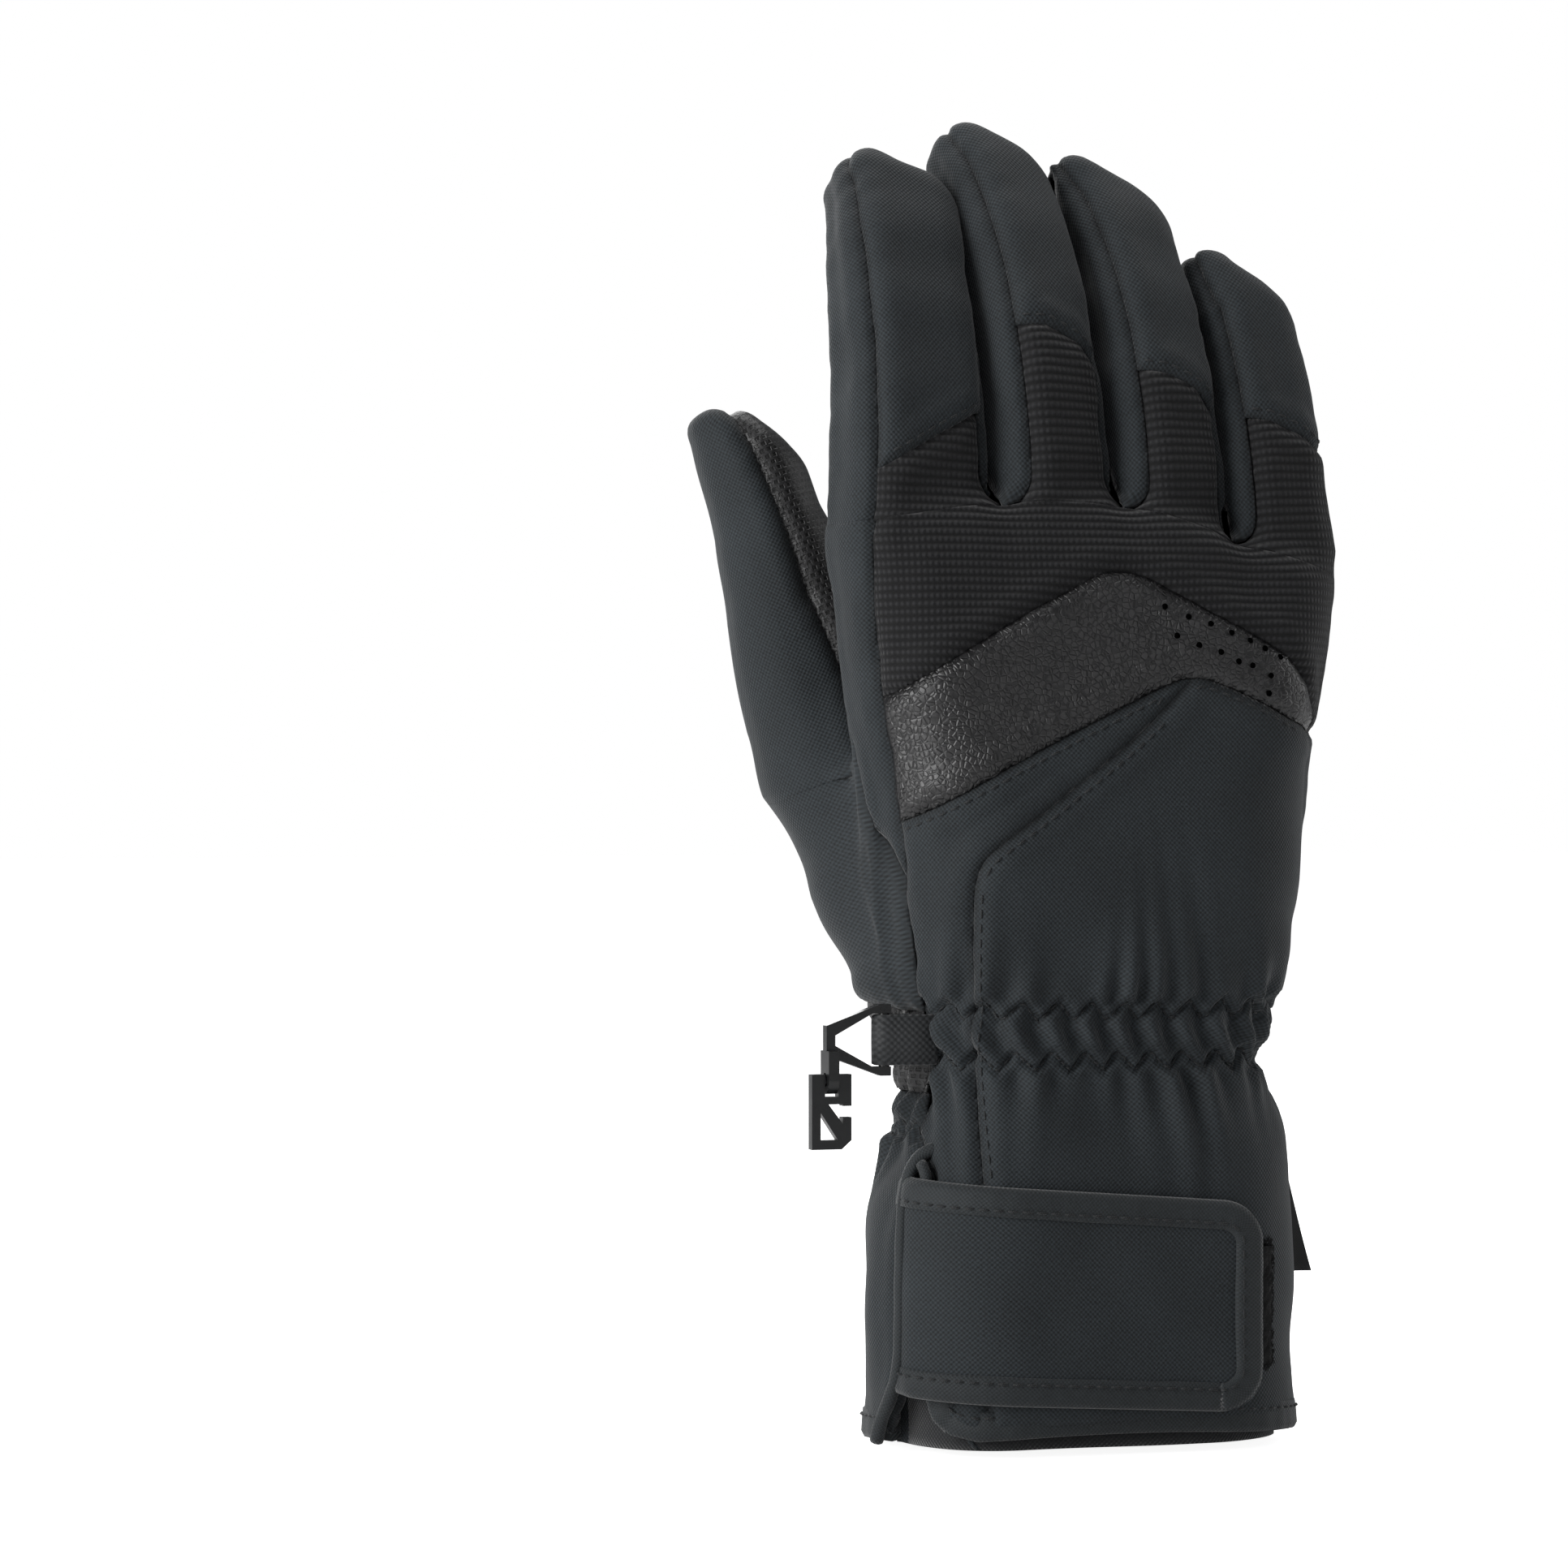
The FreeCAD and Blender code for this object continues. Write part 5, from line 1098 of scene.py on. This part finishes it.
def swept(line, out, outline, scale=1.0):
    """Points of an outline carried along a line, level with the surface that the line lies on."""
    way = np.gradient(line, axis=0)
    way /= np.maximum(np.linalg.norm(way, axis=1, keepdims=True), 1e-9)
    side = np.cross(out, way)
    side /= np.maximum(np.linalg.norm(side, axis=1, keepdims=True), 1e-9)
    shape = outline[None] * np.broadcast_to(scale, len(line))[:, None, None]
    return line[:, None] + side[:, None] * shape[..., :1] + out[:, None] * shape[..., 1:]


def contour(triangles, values, level):
    """The lines on a surface where a value passes a level: the edges crossed, and the share along each."""
    value = values - level + 1e-7
    high = value > 0
    count = high[triangles].sum(axis=1)
    links, share = {}, {}
    for a, b, c in triangles[(count > 0) & (count < 3)]:
        ends = []
        for p, q in ((a, b), (b, c), (c, a)):
            if high[p] != high[q]:
                key = (int(min(p, q)), int(max(p, q)))
                share[key] = value[key[0]] / (value[key[0]] - value[key[1]])
                ends.append(key)
        links.setdefault(ends[0], []).append(ends[1])
        links.setdefault(ends[1], []).append(ends[0])
    lines, seen = [], set()
    for start in sorted(links, key=lambda k: (len(links[k]), k)):
        line = []
        here = None if start in seen else start
        while here is not None:
            seen.add(here)
            line.append(here)
            here = next((k for k in links[here] if k not in seen), None)
        if len(line) > 5:
            lines.append((np.array(line), np.array([share[k] for k in line])[:, None]))
    return lines


def run_along(line):
    """How far along a line each of its points is."""
    return np.concatenate([[0], np.cumsum(np.linalg.norm(np.diff(line, axis=0), axis=1))])


def stitch_grid(line, out, pitch, lift):
    """The stitches of one row along a line on the cloth."""
    run = run_along(line)
    starts = np.arange(pitch * 0.3, run[-1] - STITCH_MM, pitch)
    at = starts[:, None] + STITCH_MM * np.array([0.0, 0.16, 0.5, 0.84, 1.0])
    centre = np.stack([np.interp(at, run, line[:, k]) for k in range(3)], axis=2)
    normal = np.stack([np.interp(at, run, out[:, k]) for k in range(3)], axis=2)
    rise = THREAD_MM * np.array([-0.7, 0.1, 0.42, 0.1, -0.7]) + lift
    centre = centre + normal * rise[None, :, None]
    taper = [0.4, 0.9, 1.0, 0.9, 0.4]
    return np.array([swept(c, n, disc(6) * THREAD_MM / 2, taper) for c, n in zip(centre, normal)])


def stitches(name, body, rows, pitch=STITCH_PITCH_MM, lift=0.0):
    """One piece of thread work: the stitches of all its rows."""
    grids = [stitch_grid(line, out, pitch, lift) for line, out in rows]
    settle(tubes(name, thread, np.concatenate([g for g in grids if len(g)])), body)


def rows_on(part, values, level, keep=None):
    """The rows on a sewn panel where a value passes a level, where keep allows."""
    rows = []
    for ends, share in contour(part["triangles"], values, level):
        a, b = ends.T
        line = part["points"][a] * (1 - share) + part["points"][b] * share
        out = part["out"][a] * (1 - share) + part["out"][b] * share
        here = np.ones(len(line), bool) if keep is None else keep(line)
        for run in np.split(np.arange(len(line)), np.flatnonzero(np.diff(here.astype(int))) + 1):
            if here[run[0]] and len(run) > 5:
                rows.append((line[run], out[run]))
    return rows


# The band's punched holes, as (across, height) points: small dark plugs let into the leather, a painted shadow for
# the inside of each hole.
PUNCHED = [(12.0, 184.4), (17.3, 182.2), (22.4, 180.7), (27.3, 178.8), (31.8, 177.1), (35.4, 175.4), (39.2, 173.6),
           (14.5, 178.0), (19.5, 176.0), (24.6, 174.5), (28.7, 172.5), (32.1, 171.6), (36.5, 169.4), (35.8, 165.5)]
HOLE_MM = 1.35
HOLE_FROM_MM, HOLE_TO_MM = -0.5, 0.14
HOLE_SHADOW_DARK_HEX, HOLE_SHADOW_LIGHT_HEX = "020202", "070707"
punched = leather_finish("punched_shadow", HOLE_SHADOW_DARK_HEX, HOLE_SHADOW_LIGHT_HEX, 0.8, GRAIN_MM, 0.1, False)
# No shine, so that the painted shadow in the holes stays dark.
punched.node_tree.nodes["Principled BSDF"].inputs["Specular IOR Level"].default_value = 0.0
band_tree = BVHTree.FromPolygons(band["points"].tolist(), band["triangles"].tolist())
holes = []
for x, z in PUNCHED:
    spot, out, _, _ = band_tree.ray_cast(Vector((x, -80.0, z)), Vector((0.0, 1.0, 0.0)))
    out = np.array(out) * (-1 if out[1] > 0 else 1)
    line = np.array(spot) + out * np.array([HOLE_FROM_MM, 0.0, HOLE_TO_MM])[:, None]
    side = unit(np.cross(out, [0.0, 0.0, 1.0]))
    ring = disc(12) @ np.array([side, np.cross(side, out)]) * HOLE_MM / 2
    holes.append(line[:, None] + ring[None])
settle(tubes("band_punched_holes", punched, np.array(holes)), "hand")

band_edge, diagonal_edge = eased(BAND_LOW, 2.0), eased(DIAGONAL, 2.0)


def by_band(points):
    return near(points[:, 0], points[:, 2], band_edge) < 3.5


def by_diagonal(points):
    up = points[:, 2]
    return (near(points[:, 0], up, diagonal_edge) < 3.0) & (up < 160) & (up > 59)


def by_knit(name, points):
    across, _, along = finger_place(name, *points.T)
    return (past_knit(name, across, along) < 3.2) & (np.abs(across) < 11.5)


stitches("band_lower_stitches", "hand", rows_on(main, main["edge"], SEAM_ALLOWANCE_MM, by_band)
         + rows_on(thumb_part, thumb_part["edge"], SEAM_ALLOWANCE_MM, by_band))
stitches("slanting_seam_stitches", "hand", rows_on(main, main["edge"], SEAM_ALLOWANCE_MM, by_diagonal))
for name in FINGERS:
    part = finger_back[name]
    stitches(f"{name}_knit_edge_stitches", name, rows_on(part, part["edge"], 1.9, lambda p: by_knit(name, p)))


def zigzag_rows(part, row, tooth):
    """The zigzag of an elastic row, the same line that gathers the cloth."""
    at = part["lay"]
    return rows_on(part, at[:, 1] - row - zigzag(at[:, 0], tooth)[1], 0.0)


for part, label in ((main, "back"), (thumb_part, "back_thumb_side")):
    rows = [row for height in WRIST_ROWS_MM for row in zigzag_rows(part, height, WRIST_TOOTH_MM)]
    stitches(f"wrist_zigzag_{label}", "hand", rows, ELASTIC_PITCH_MM, 0.05)
stitches("wrist_zigzag_palm", "hand", zigzag_rows(cuff_palm, PALM_ROW_MM, PALM_TOOTH_MM),
         ELASTIC_PITCH_MM, 0.05)
palm_rows = []
for line in PALM_LINES:
    away = near(palm["points"][:, 0], palm["points"][:, 2], line)
    away = np.where(palm["points"][:, 1] > 4, away, 9.0)
    palm_rows += rows_on(palm, away, 1.5)
stitches("palm_fold_stitches", "hand", palm_rows)

# ----------------------------------------------------------------------------- the hem and the wrist vent
# The cuff mouth is bound in a folded tape of plain woven polyester that turns up both sides of the vent.
# The vent's far edge is piped: the same tape round a cord. Behind it a gusset of softshell folds inward.
BINDING_DARK_HEX, BINDING_LIGHT_HEX = "0a0d0e", "262b2e"
CUFF_ROUND_MM = 265.4
FAR_PIPING_MM, NEAR_PIPING_MM = 1.55, 1.25
GUSSET_TALL_MM, GUSSET_THICK_MM = 63.0, 0.7

binding = cloth_finish("folded_binding_tape", BINDING_DARK_HEX, BINDING_LIGHT_HEX, 0.9, 0.72, 0.18, 0.14)


def wrap(arc, z, off):
    """Points a given way round the cuff and up it, standing off its surface, with the outward direction."""
    middle, wide, deep = station(z)
    corner = CORNER_SHARE * deep
    flat, stand_off, bend = wide - corner, deep - corner, corner * math.pi / 2
    half = 2 * flat + 2 * bend + 2 * stand_off
    arc = (arc + half) % (2 * half) - half
    q = np.abs(arc)
    turn = np.clip((q - flat) / corner, 0, math.pi / 2)
    late = np.clip((q - flat - bend - 2 * stand_off) / corner, 0, math.pi / 2)
    straight = np.clip(q - flat - bend, 0, 2 * stand_off)
    last = np.clip(q - half + flat, 0, None)
    u = np.minimum(q, flat) + corner * np.sin(turn) - corner * (1 - np.cos(late)) - last
    v = -stand_off - corner * np.cos(turn) + straight + corner * np.sin(late)
    out = np.stack([np.sign(arc) * np.sin(turn) * np.cos(late), np.sin(late) - np.cos(turn), np.zeros(len(q))],
                   axis=1)
    away = np.asarray(off)[..., None] - 0.8
    return np.stack([np.sign(arc) * u + middle, v, z], axis=1) + out * away, out


def bound_edge(path, outline, pucker=0.12):
    """A folded tape over an edge: an outline of (in from the edge, off the surface) carried along the path."""
    way = np.gradient(path, axis=0)
    way /= np.linalg.norm(way, axis=1, keepdims=True)
    inward = np.stack([-way[:, 1], way[:, 0]], axis=1)
    run = run_along(path)
    grid, lay = [], []
    for wide, off in outline:
        spot = path + inward * wide
        uneven = pucker * np.sin(run * 1.27 + 1.3 * np.sin(run * 0.31)) * (0 < wide < 5.9)
        grid.append(wrap(spot[:, 0], spot[:, 1], off + uneven)[0])
        lay.append(np.stack([run, np.full(len(run), wide + 12.0 * (off < -1)), np.zeros(len(run))], axis=1))
    return np.stack(grid, axis=1)[None], np.stack(lay, axis=1)[None], inward


round_cuff = np.arange(-34.0, 205.4, 1.5)


def cuff_back_arc(arc):
    """The way round the cuff, measured the short way from the middle of its back."""
    return np.where(arc > CUFF_ROUND_MM / 2, arc - CUFF_ROUND_MM, arc)


hem_line = np.vstack([eased([(-46.0, 19.0), (-45.9, 13.0), (-44.0, 8.2), (-39.0, 4.6)], 1.0)[:-1],
                      np.stack([round_cuff, hem_rise(cuff_back_arc(round_cuff))], axis=1)])
hem_outline = [(6.6, -0.2), (6.4, 0.85), (4.6, 1.0), (1.3, 1.25), (0.2, 0.7), (-0.25, -1.6), (0.2, -3.6),
               (1.2, -4.4), (5.8, -4.3), (6.0, -3.2)]
grid, lay, inward = bound_edge(hem_line, hem_outline)
settle(tubes("hem_binding_tape", binding, grid, lay), "hand", "hem_binding")
hem_row = hem_line + inward * 5.1
hem_stitch_points, hem_out = wrap(hem_row[:, 0], hem_row[:, 1], 1.1)
stitches("hem_stitches", "hand", [(hem_stitch_points[8:], hem_out[8:])])


def piping(name, path, radius, *nodes):
    """A piped edge along a line of (round the cuff, up it), its far end sunk into the cloth."""
    line = eased(path, 1.2)
    run = np.arange(len(line))
    sunk = np.clip(1 - (run[-1] - run) / 7, 0, 1) ** 2
    centre, out = wrap(line[:, 0], line[:, 1], radius + 0.55 - 4.5 * sunk)
    grid = swept(centre, out, disc(10) * radius, 1 + 0.03 * np.sin(run * 0.9))[None]
    settle(tubes(name, binding, grid), "hand", *nodes)


piping("vent_piping_cord", [(-61.0, 2.4), (-58.6, 7.0), (-54.6, 13.0), (-51.8, 21.0), (-51.2, 40.0), (-51.0, 56.0),
                            (-50.3, 61.5), (-48.2, 65.4), (-44.6, 67.0)], FAR_PIPING_MM, "vent_piping")
piping("vent_near_piping", [(-47.6, 63.4), (-46.0, 61.0), (-45.4, 55.0), (-45.2, 34.0), (-45.4, 17.0)],
       NEAR_PIPING_MM)
share, rise = np.meshgrid(np.linspace(0, 1, 33), np.linspace(0, 1, 45), indexing="ij")
fold = 3.2 * np.abs(np.sin(share * 2.5 * math.pi + 0.5 * np.sin(rise * 9))) * (0.5 + 0.5 * rise)
depth = -3.2 - 5.2 * np.sin(math.pi * share) + fold * np.sin(math.pi * share)
gusset_arc = -62.5 + (19.5 + 9 * (1 - rise) ** 8) * share
gusset_points, _ = wrap(gusset_arc.ravel(), 1.8 + GUSSET_TALL_MM * rise.ravel(), depth.ravel())
cells = np.arange(share.size).reshape(share.shape)
quads = np.stack([cells[:-1, :-1], cells[1:, :-1], cells[1:, 1:], cells[:-1, 1:]], axis=-1).reshape(-1, 4)
gusset_lay = np.stack([share * 30, rise * GUSSET_TALL_MM, share * 0], axis=-1).reshape(-1, 3)
gusset = solid_piece("vent_gusset_cloth", gusset_points, quads, softshell, gusset_lay, None, GUSSET_THICK_MM)
settle(gusset, "hand", "vent_gusset")

# ------------------------------------------------------------------------------------------- the lining
# A brushed tricot lining, dark grey, hangs loose inside the cuff and closes up towards the wrist.
LINING_DARK_HEX, LINING_LIGHT_HEX = "101112", "262729"
LINING_THICK_MM = 0.9
tricot = cloth_finish("tricot_lining", LINING_DARK_HEX, LINING_LIGHT_HEX, 1.1, 0.9, 0.4, 0.2)
lining_up = np.concatenate([np.arange(1.6, 84, 2.5), [86, 90, 95, 101, 108]])
lining_in = np.interp(lining_up, [0, 84, 95, 108], [-4.2, -5.2, -12.0, -24.0])
lining_round = np.linspace(-134, 134, 161)[:-1]
sheets = []
for thick in (0.0, LINING_THICK_MM):
    sheets.append(np.array([wrap(lining_round, np.full(160, z), off - thick
                                 + 0.5 * np.sin(lining_round / 7 + z / 9))[0]
                            for z, off in zip(lining_up, lining_in)]))
lining_grid = np.concatenate([sheets[0], sheets[1][::-1]])
lining_lay = np.stack([*np.meshgrid(np.linspace(0, 200, len(lining_grid)), lining_round, indexing="ij"),
                       np.zeros(lining_grid.shape[:2])], axis=-1)
settle(tubes("cuff_lining", tricot, lining_grid[None], lining_lay[None]), "hand", "lining_back", "lining_palm")

# --------------------------------------------------------------------------------------- the cuff strap
# Two layers of softshell with their edge bound in tape, sewn in under the vent's piping. It crosses the
# vent and closes on a pile patch with a hook patch under its end.
STRAP_END, STRAP_ROOT, STRAP_CORNER_MM = 29.6, -52.6, 9.0
STRAP_INNER_MM, STRAP_OUTER_MM = 2.1, 3.9
PILE_DARK_HEX, PILE_LIGHT_HEX = "060606", "1c1c1d"
HOOK_DARK_HEX, HOOK_LIGHT_HEX = "0c0c0d", "242425"


def strap_top(arc):
    return 60.2 - 0.075 * (arc + 50)


def strap_foot(arc):
    return 13.6 - 0.055 * (arc + 50)


def strap_outline():
    """The strap's edge from its root's foot round its end and back: distances round the cuff and up it."""
    corner = STRAP_CORNER_MM
    middle = STRAP_END - corner
    foot = [(arc, strap_foot(arc)) for arc in np.arange(STRAP_ROOT, middle, 1.2)]
    turn = np.linspace(-math.pi / 2, 0, 13)
    low = [(middle + corner * math.cos(t), strap_foot(middle) + corner + corner * math.sin(t)) for t in turn]
    high = [(middle + corner * math.cos(t), strap_top(middle) - corner - corner * math.sin(t))
            for t in turn[::-1]]
    up = [(STRAP_END, z) for z in np.arange(low[-1][1] + 1.2, high[0][1] - 0.6, 1.2)]
    top = [(arc, strap_top(arc)) for arc in np.arange(middle - 1.2, STRAP_ROOT - 0.1, -1.2)]
    return np.array(foot + low + up + high + top)


def lift(arc):
    """How far the strap rises off the cuff over the patches, and dips under the piping at its root."""
    return 0.9 * np.clip((arc - 10) / 21, 0, 1) ** 2 - 1.8 * np.clip((-46.5 - arc) / 5, 0, 1) ** 2


def slab(name, finish, arcs, ups, outer, inner):
    """A flat piece on the cuff: a grid of places round it and up it, between two standoffs."""
    far, near_by = (wrap(arcs.ravel(), ups.ravel(), (arcs * 0 + off).ravel())[0].reshape(*arcs.shape, 3)
                    for off in (outer, inner))
    flat = np.stack([arcs, ups, arcs * 0], axis=-1)
    return tubes(name, finish, np.concatenate([far, near_by[:, ::-1]], axis=1)[None],
                 np.concatenate([flat, flat[:, ::-1]], axis=1)[None])


outline = strap_outline()
corner_start = STRAP_END - STRAP_CORNER_MM
columns = np.concatenate([np.linspace(STRAP_ROOT, corner_start, 58),
                          corner_start + STRAP_CORNER_MM * np.sin(np.linspace(0.1, 1.5, 13))])
past_corner = np.clip(columns - corner_start, 0, STRAP_CORNER_MM)
inset = STRAP_CORNER_MM - np.sqrt(STRAP_CORNER_MM ** 2 - past_corner ** 2)
strap_low, strap_high = strap_foot(columns) + inset, strap_top(columns) - inset
strap_arc = np.repeat(columns[:, None], 46, 1)
strap_z = strap_low[:, None] + (strap_high - strap_low)[:, None] * np.linspace(0, 1, 46)
rim = np.clip(-within(strap_arc, strap_z, [tuple(p) for p in outline]), 0, None)
flat_places = np.stack([strap_arc.ravel(), strap_z.ravel(), np.zeros(strap_arc.size)], axis=1)
swell = 0.35 * (1 - np.exp(-rim / 9)) + 0.18 * ripple(flat_places, 22.0, 11).reshape(rim.shape)
strap = slab("closure_strap_cloth", softshell, strap_arc, strap_z, STRAP_OUTER_MM + swell + lift(strap_arc),
             STRAP_INNER_MM + lift(strap_arc))
settle(strap, "strap", "closure_strap")
edge_outline = [(6.1, 3.6), (5.9, 4.55), (4.4, 4.7), (1.2, 4.75), (0.1, 4.2), (-0.35, 3.1), (0.1, 2.0), (1.0, 1.6),
                (5.7, 1.7), (5.9, 2.4)]
grid, lay, inward = bound_edge(outline, edge_outline, 0.07)
lifted = wrap(outline[:, 0], outline[:, 1], 0.0)[1] * lift(outline[:, 0])[:, None]
settle(tubes("strap_edge_tape", binding, grid + lifted[None, :, None], lay), "strap", "strap_edging")
strap_row = outline + inward * 4.6
stitches("strap_stitches", "strap", [wrap(strap_row[:, 0], strap_row[:, 1], 4.85 + lift(strap_row[:, 0]))])


def pile_finish(name, dark_hex, light_hex, bump_mm):
    """A matted pile: tangled nylon loops or stiff moulded hooks, near black."""
    finish, tree = blank_finish(name)
    lay = add(tree, "Attribute", attribute_name="lay").outputs["Vector"]
    tangle = add(tree, "TexNoise", {"Vector": lay, "Scale": 1.6, "Detail": 4.0, "Roughness": 0.7,
                                    "Distortion": 1.5}).outputs["Fac"]
    tone = add(tree, "MapRange", {"Value": tangle, "From Min": 0.35, "From Max": 0.75}).outputs["Result"]
    dye = add(tree, "Mix", {0: tone, 6: linear(dark_hex), 7: linear(light_hex)}, data_type="RGBA").outputs[2]
    bump = add(tree, "Bump", {"Height": tangle, "Strength": 1.0, "Distance": bump_mm * MM}).outputs[0]
    skin = add(tree, "BsdfPrincipled", {"Base Color": dye, "Roughness": 0.8, "Normal": bump, "IOR": 1.53,
                                        "Specular IOR Level": 0.25})
    add(tree, "OutputMaterial", {"Surface": skin.outputs[0]})
    return finish


loop_pile = pile_finish("loop_pile", PILE_DARK_HEX, PILE_LIGHT_HEX, 0.7)
moulded_hooks = pile_finish("moulded_hooks", HOOK_DARK_HEX, HOOK_LIGHT_HEX, 0.4)


def patch(name, finish, box, inner, outer, rough, seed):
    """A flat patch on the cuff between two standoffs, with an uneven face."""
    left, right, low, high = box
    arcs, ups = np.meshgrid(np.arange(left, right + 0.1, 0.8), np.arange(low, high + 0.1, 0.8), indexing="ij")
    uneven = rough * np.random.default_rng(seed).uniform(-1, 1, arcs.shape)
    return slab(name, finish, arcs, ups, outer + uneven, inner)


pile = patch("loop_patch_pile", loop_pile, (-14.0, 34.0, 19.0, 45.0), 0.6, 2.4, 0.3, 21)
settle(pile, "hand", "loop_patch")
hooks = patch("hook_patch_face", moulded_hooks, (-4.0, 26.5, 21.5, 44.0), 1.7, 2.6, 0.12, 22)
settle(hooks, "strap", "hook_patch")
random = np.random.default_rng(23)
tufts = []
for _ in range(420):
    share = random.uniform()
    arc, z = (34.0 + random.normal() * 0.4, random.uniform(19, 45)) if share < 0.75 else (
        random.uniform(29, 34), random.choice([19.0, 45.0]) + random.normal() * 0.3)
    turn, step = np.cumsum(random.normal(0, 0.5, 5)), 0.45 * np.arange(5)
    height = 1.0 + 0.75 * np.sin(np.linspace(0, math.pi, 5)) * random.uniform(0.4, 1.2)
    line, out = wrap(arc + step * np.cos(turn * 0.8), z + step * np.sin(turn), height)
    tufts.append(swept(line, out, disc(6) * 0.11, [1, 1, 1, 0.9, 0.6]))
settle(tubes("loop_patch_edge_loops", loop_pile, np.array(tufts)), "hand")

# ------------------------------------------------------------------------------------ the side label
# A satin-woven label folded into the side seam of the cuff, bare, its face to the side.
LABEL_DARK_HEX, LABEL_LIGHT_HEX = "0a0a0b", "161617"
LABEL_HEIGHTS_MM, LABEL_ROOT_MM = (35.6, 61.0), 46.8
satin = cloth_finish("satin_woven_label", LABEL_DARK_HEX, LABEL_LIGHT_HEX, 0.6, 0.55, 0.15, 0.06, 1.0)
label_rings = []
for z in np.linspace(*LABEL_HEIGHTS_MM, 20):
    reach = np.interp(z, LABEL_HEIGHTS_MM, (55.2, 48.8))
    x = np.linspace(LABEL_ROOT_MM, reach, 8)
    bow = 0.7 * np.sin((x - LABEL_ROOT_MM) / 8 * math.pi) + 0.2 * math.sin(z / 5)
    face = [np.stack([x, side * 0.45 + bow - 0.5, np.full(8, z + 0.12 * (reach - 50))], axis=1)
            for side in (-1, 1)]
    label_rings.append(np.concatenate([face[0], face[1][::-1]]))
settle(tubes("side_label_tab", satin, np.array(label_rings)[None]), "hand", "side_label")

# --------------------------------------------------------------------------- the webbing loop and the clip
# A loop of 11 mm woven polyester webbing is sewn into the thumb-side seam at the wrist. A moulded acetal
# ring turns in it and a moulded hook hangs from the ring, for hanging the glove or pairing it.
WEBBING_DARK_HEX, WEBBING_LIGHT_HEX = "131415", "2b2d2f"
WEBBING_WIDE_MM, WEBBING_THICK_MM = 11.0, 1.3
PLASTIC_HEX = "101112"
WEBBING_UP_MM = 90.0
webbing = cloth_finish("woven_webbing", WEBBING_DARK_HEX, WEBBING_LIGHT_HEX, 1.5, 0.62, 0.12, 0.3, 1.0)
web_path = eased([(-37.5, -11.8), (-42.0, -12.2), (-46.5, -11.6), (-49.4, -10.9), (-50.7, -9.0), (-49.4, -7.1),
                  (-46.5, -6.6), (-42.0, -6.4), (-38.0, -6.6)], 0.6)
web_line = np.column_stack([web_path, np.full(len(web_path), WEBBING_UP_MM)])
web_out = np.cross(np.array([0.0, 0.0, 1.0]), np.gradient(web_line, axis=0))
web_out /= np.linalg.norm(web_out, axis=1, keepdims=True)
wide, thick = WEBBING_WIDE_MM / 2, WEBBING_THICK_MM / 2
web_shape = np.array([(wide - 0.3, -thick), (wide, 0), (wide - 0.3, thick), (0, thick * 1.05),
                      (0.3 - wide, thick), (-wide, 0), (0.3 - wide, -thick), (0, -thick)])
settle(tubes("webbing_loop_tape", webbing, swept(web_line, web_out, web_shape)[None]), "hand", "webbing_loop")

acetal, tree = blank_finish("moulded_acetal")
where = add(tree, "TexCoord").outputs["Object"]
flow = add(tree, "TexNoise", {"Vector": where, "Scale": 260.0, "Detail": 2.0}).outputs["Fac"]
dull = add(tree, "MapRange", {"Value": flow, "To Min": 0.22, "To Max": 0.36}).outputs["Result"]
bump = add(tree, "Bump", {"Height": flow, "Strength": 0.25, "Distance": 0.05 * MM}).outputs[0]
skin = add(tree, "BsdfPrincipled", {"Base Color": linear(PLASTIC_HEX), "Roughness": dull, "Normal": bump,
                                    "IOR": 1.48})
add(tree, "OutputMaterial", {"Surface": skin.outputs[0]})
for node in ("clip_ring", "clip_hook"):
    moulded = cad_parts[node]
    moulded.data.materials.clear()
    moulded.data.materials.append(acetal)
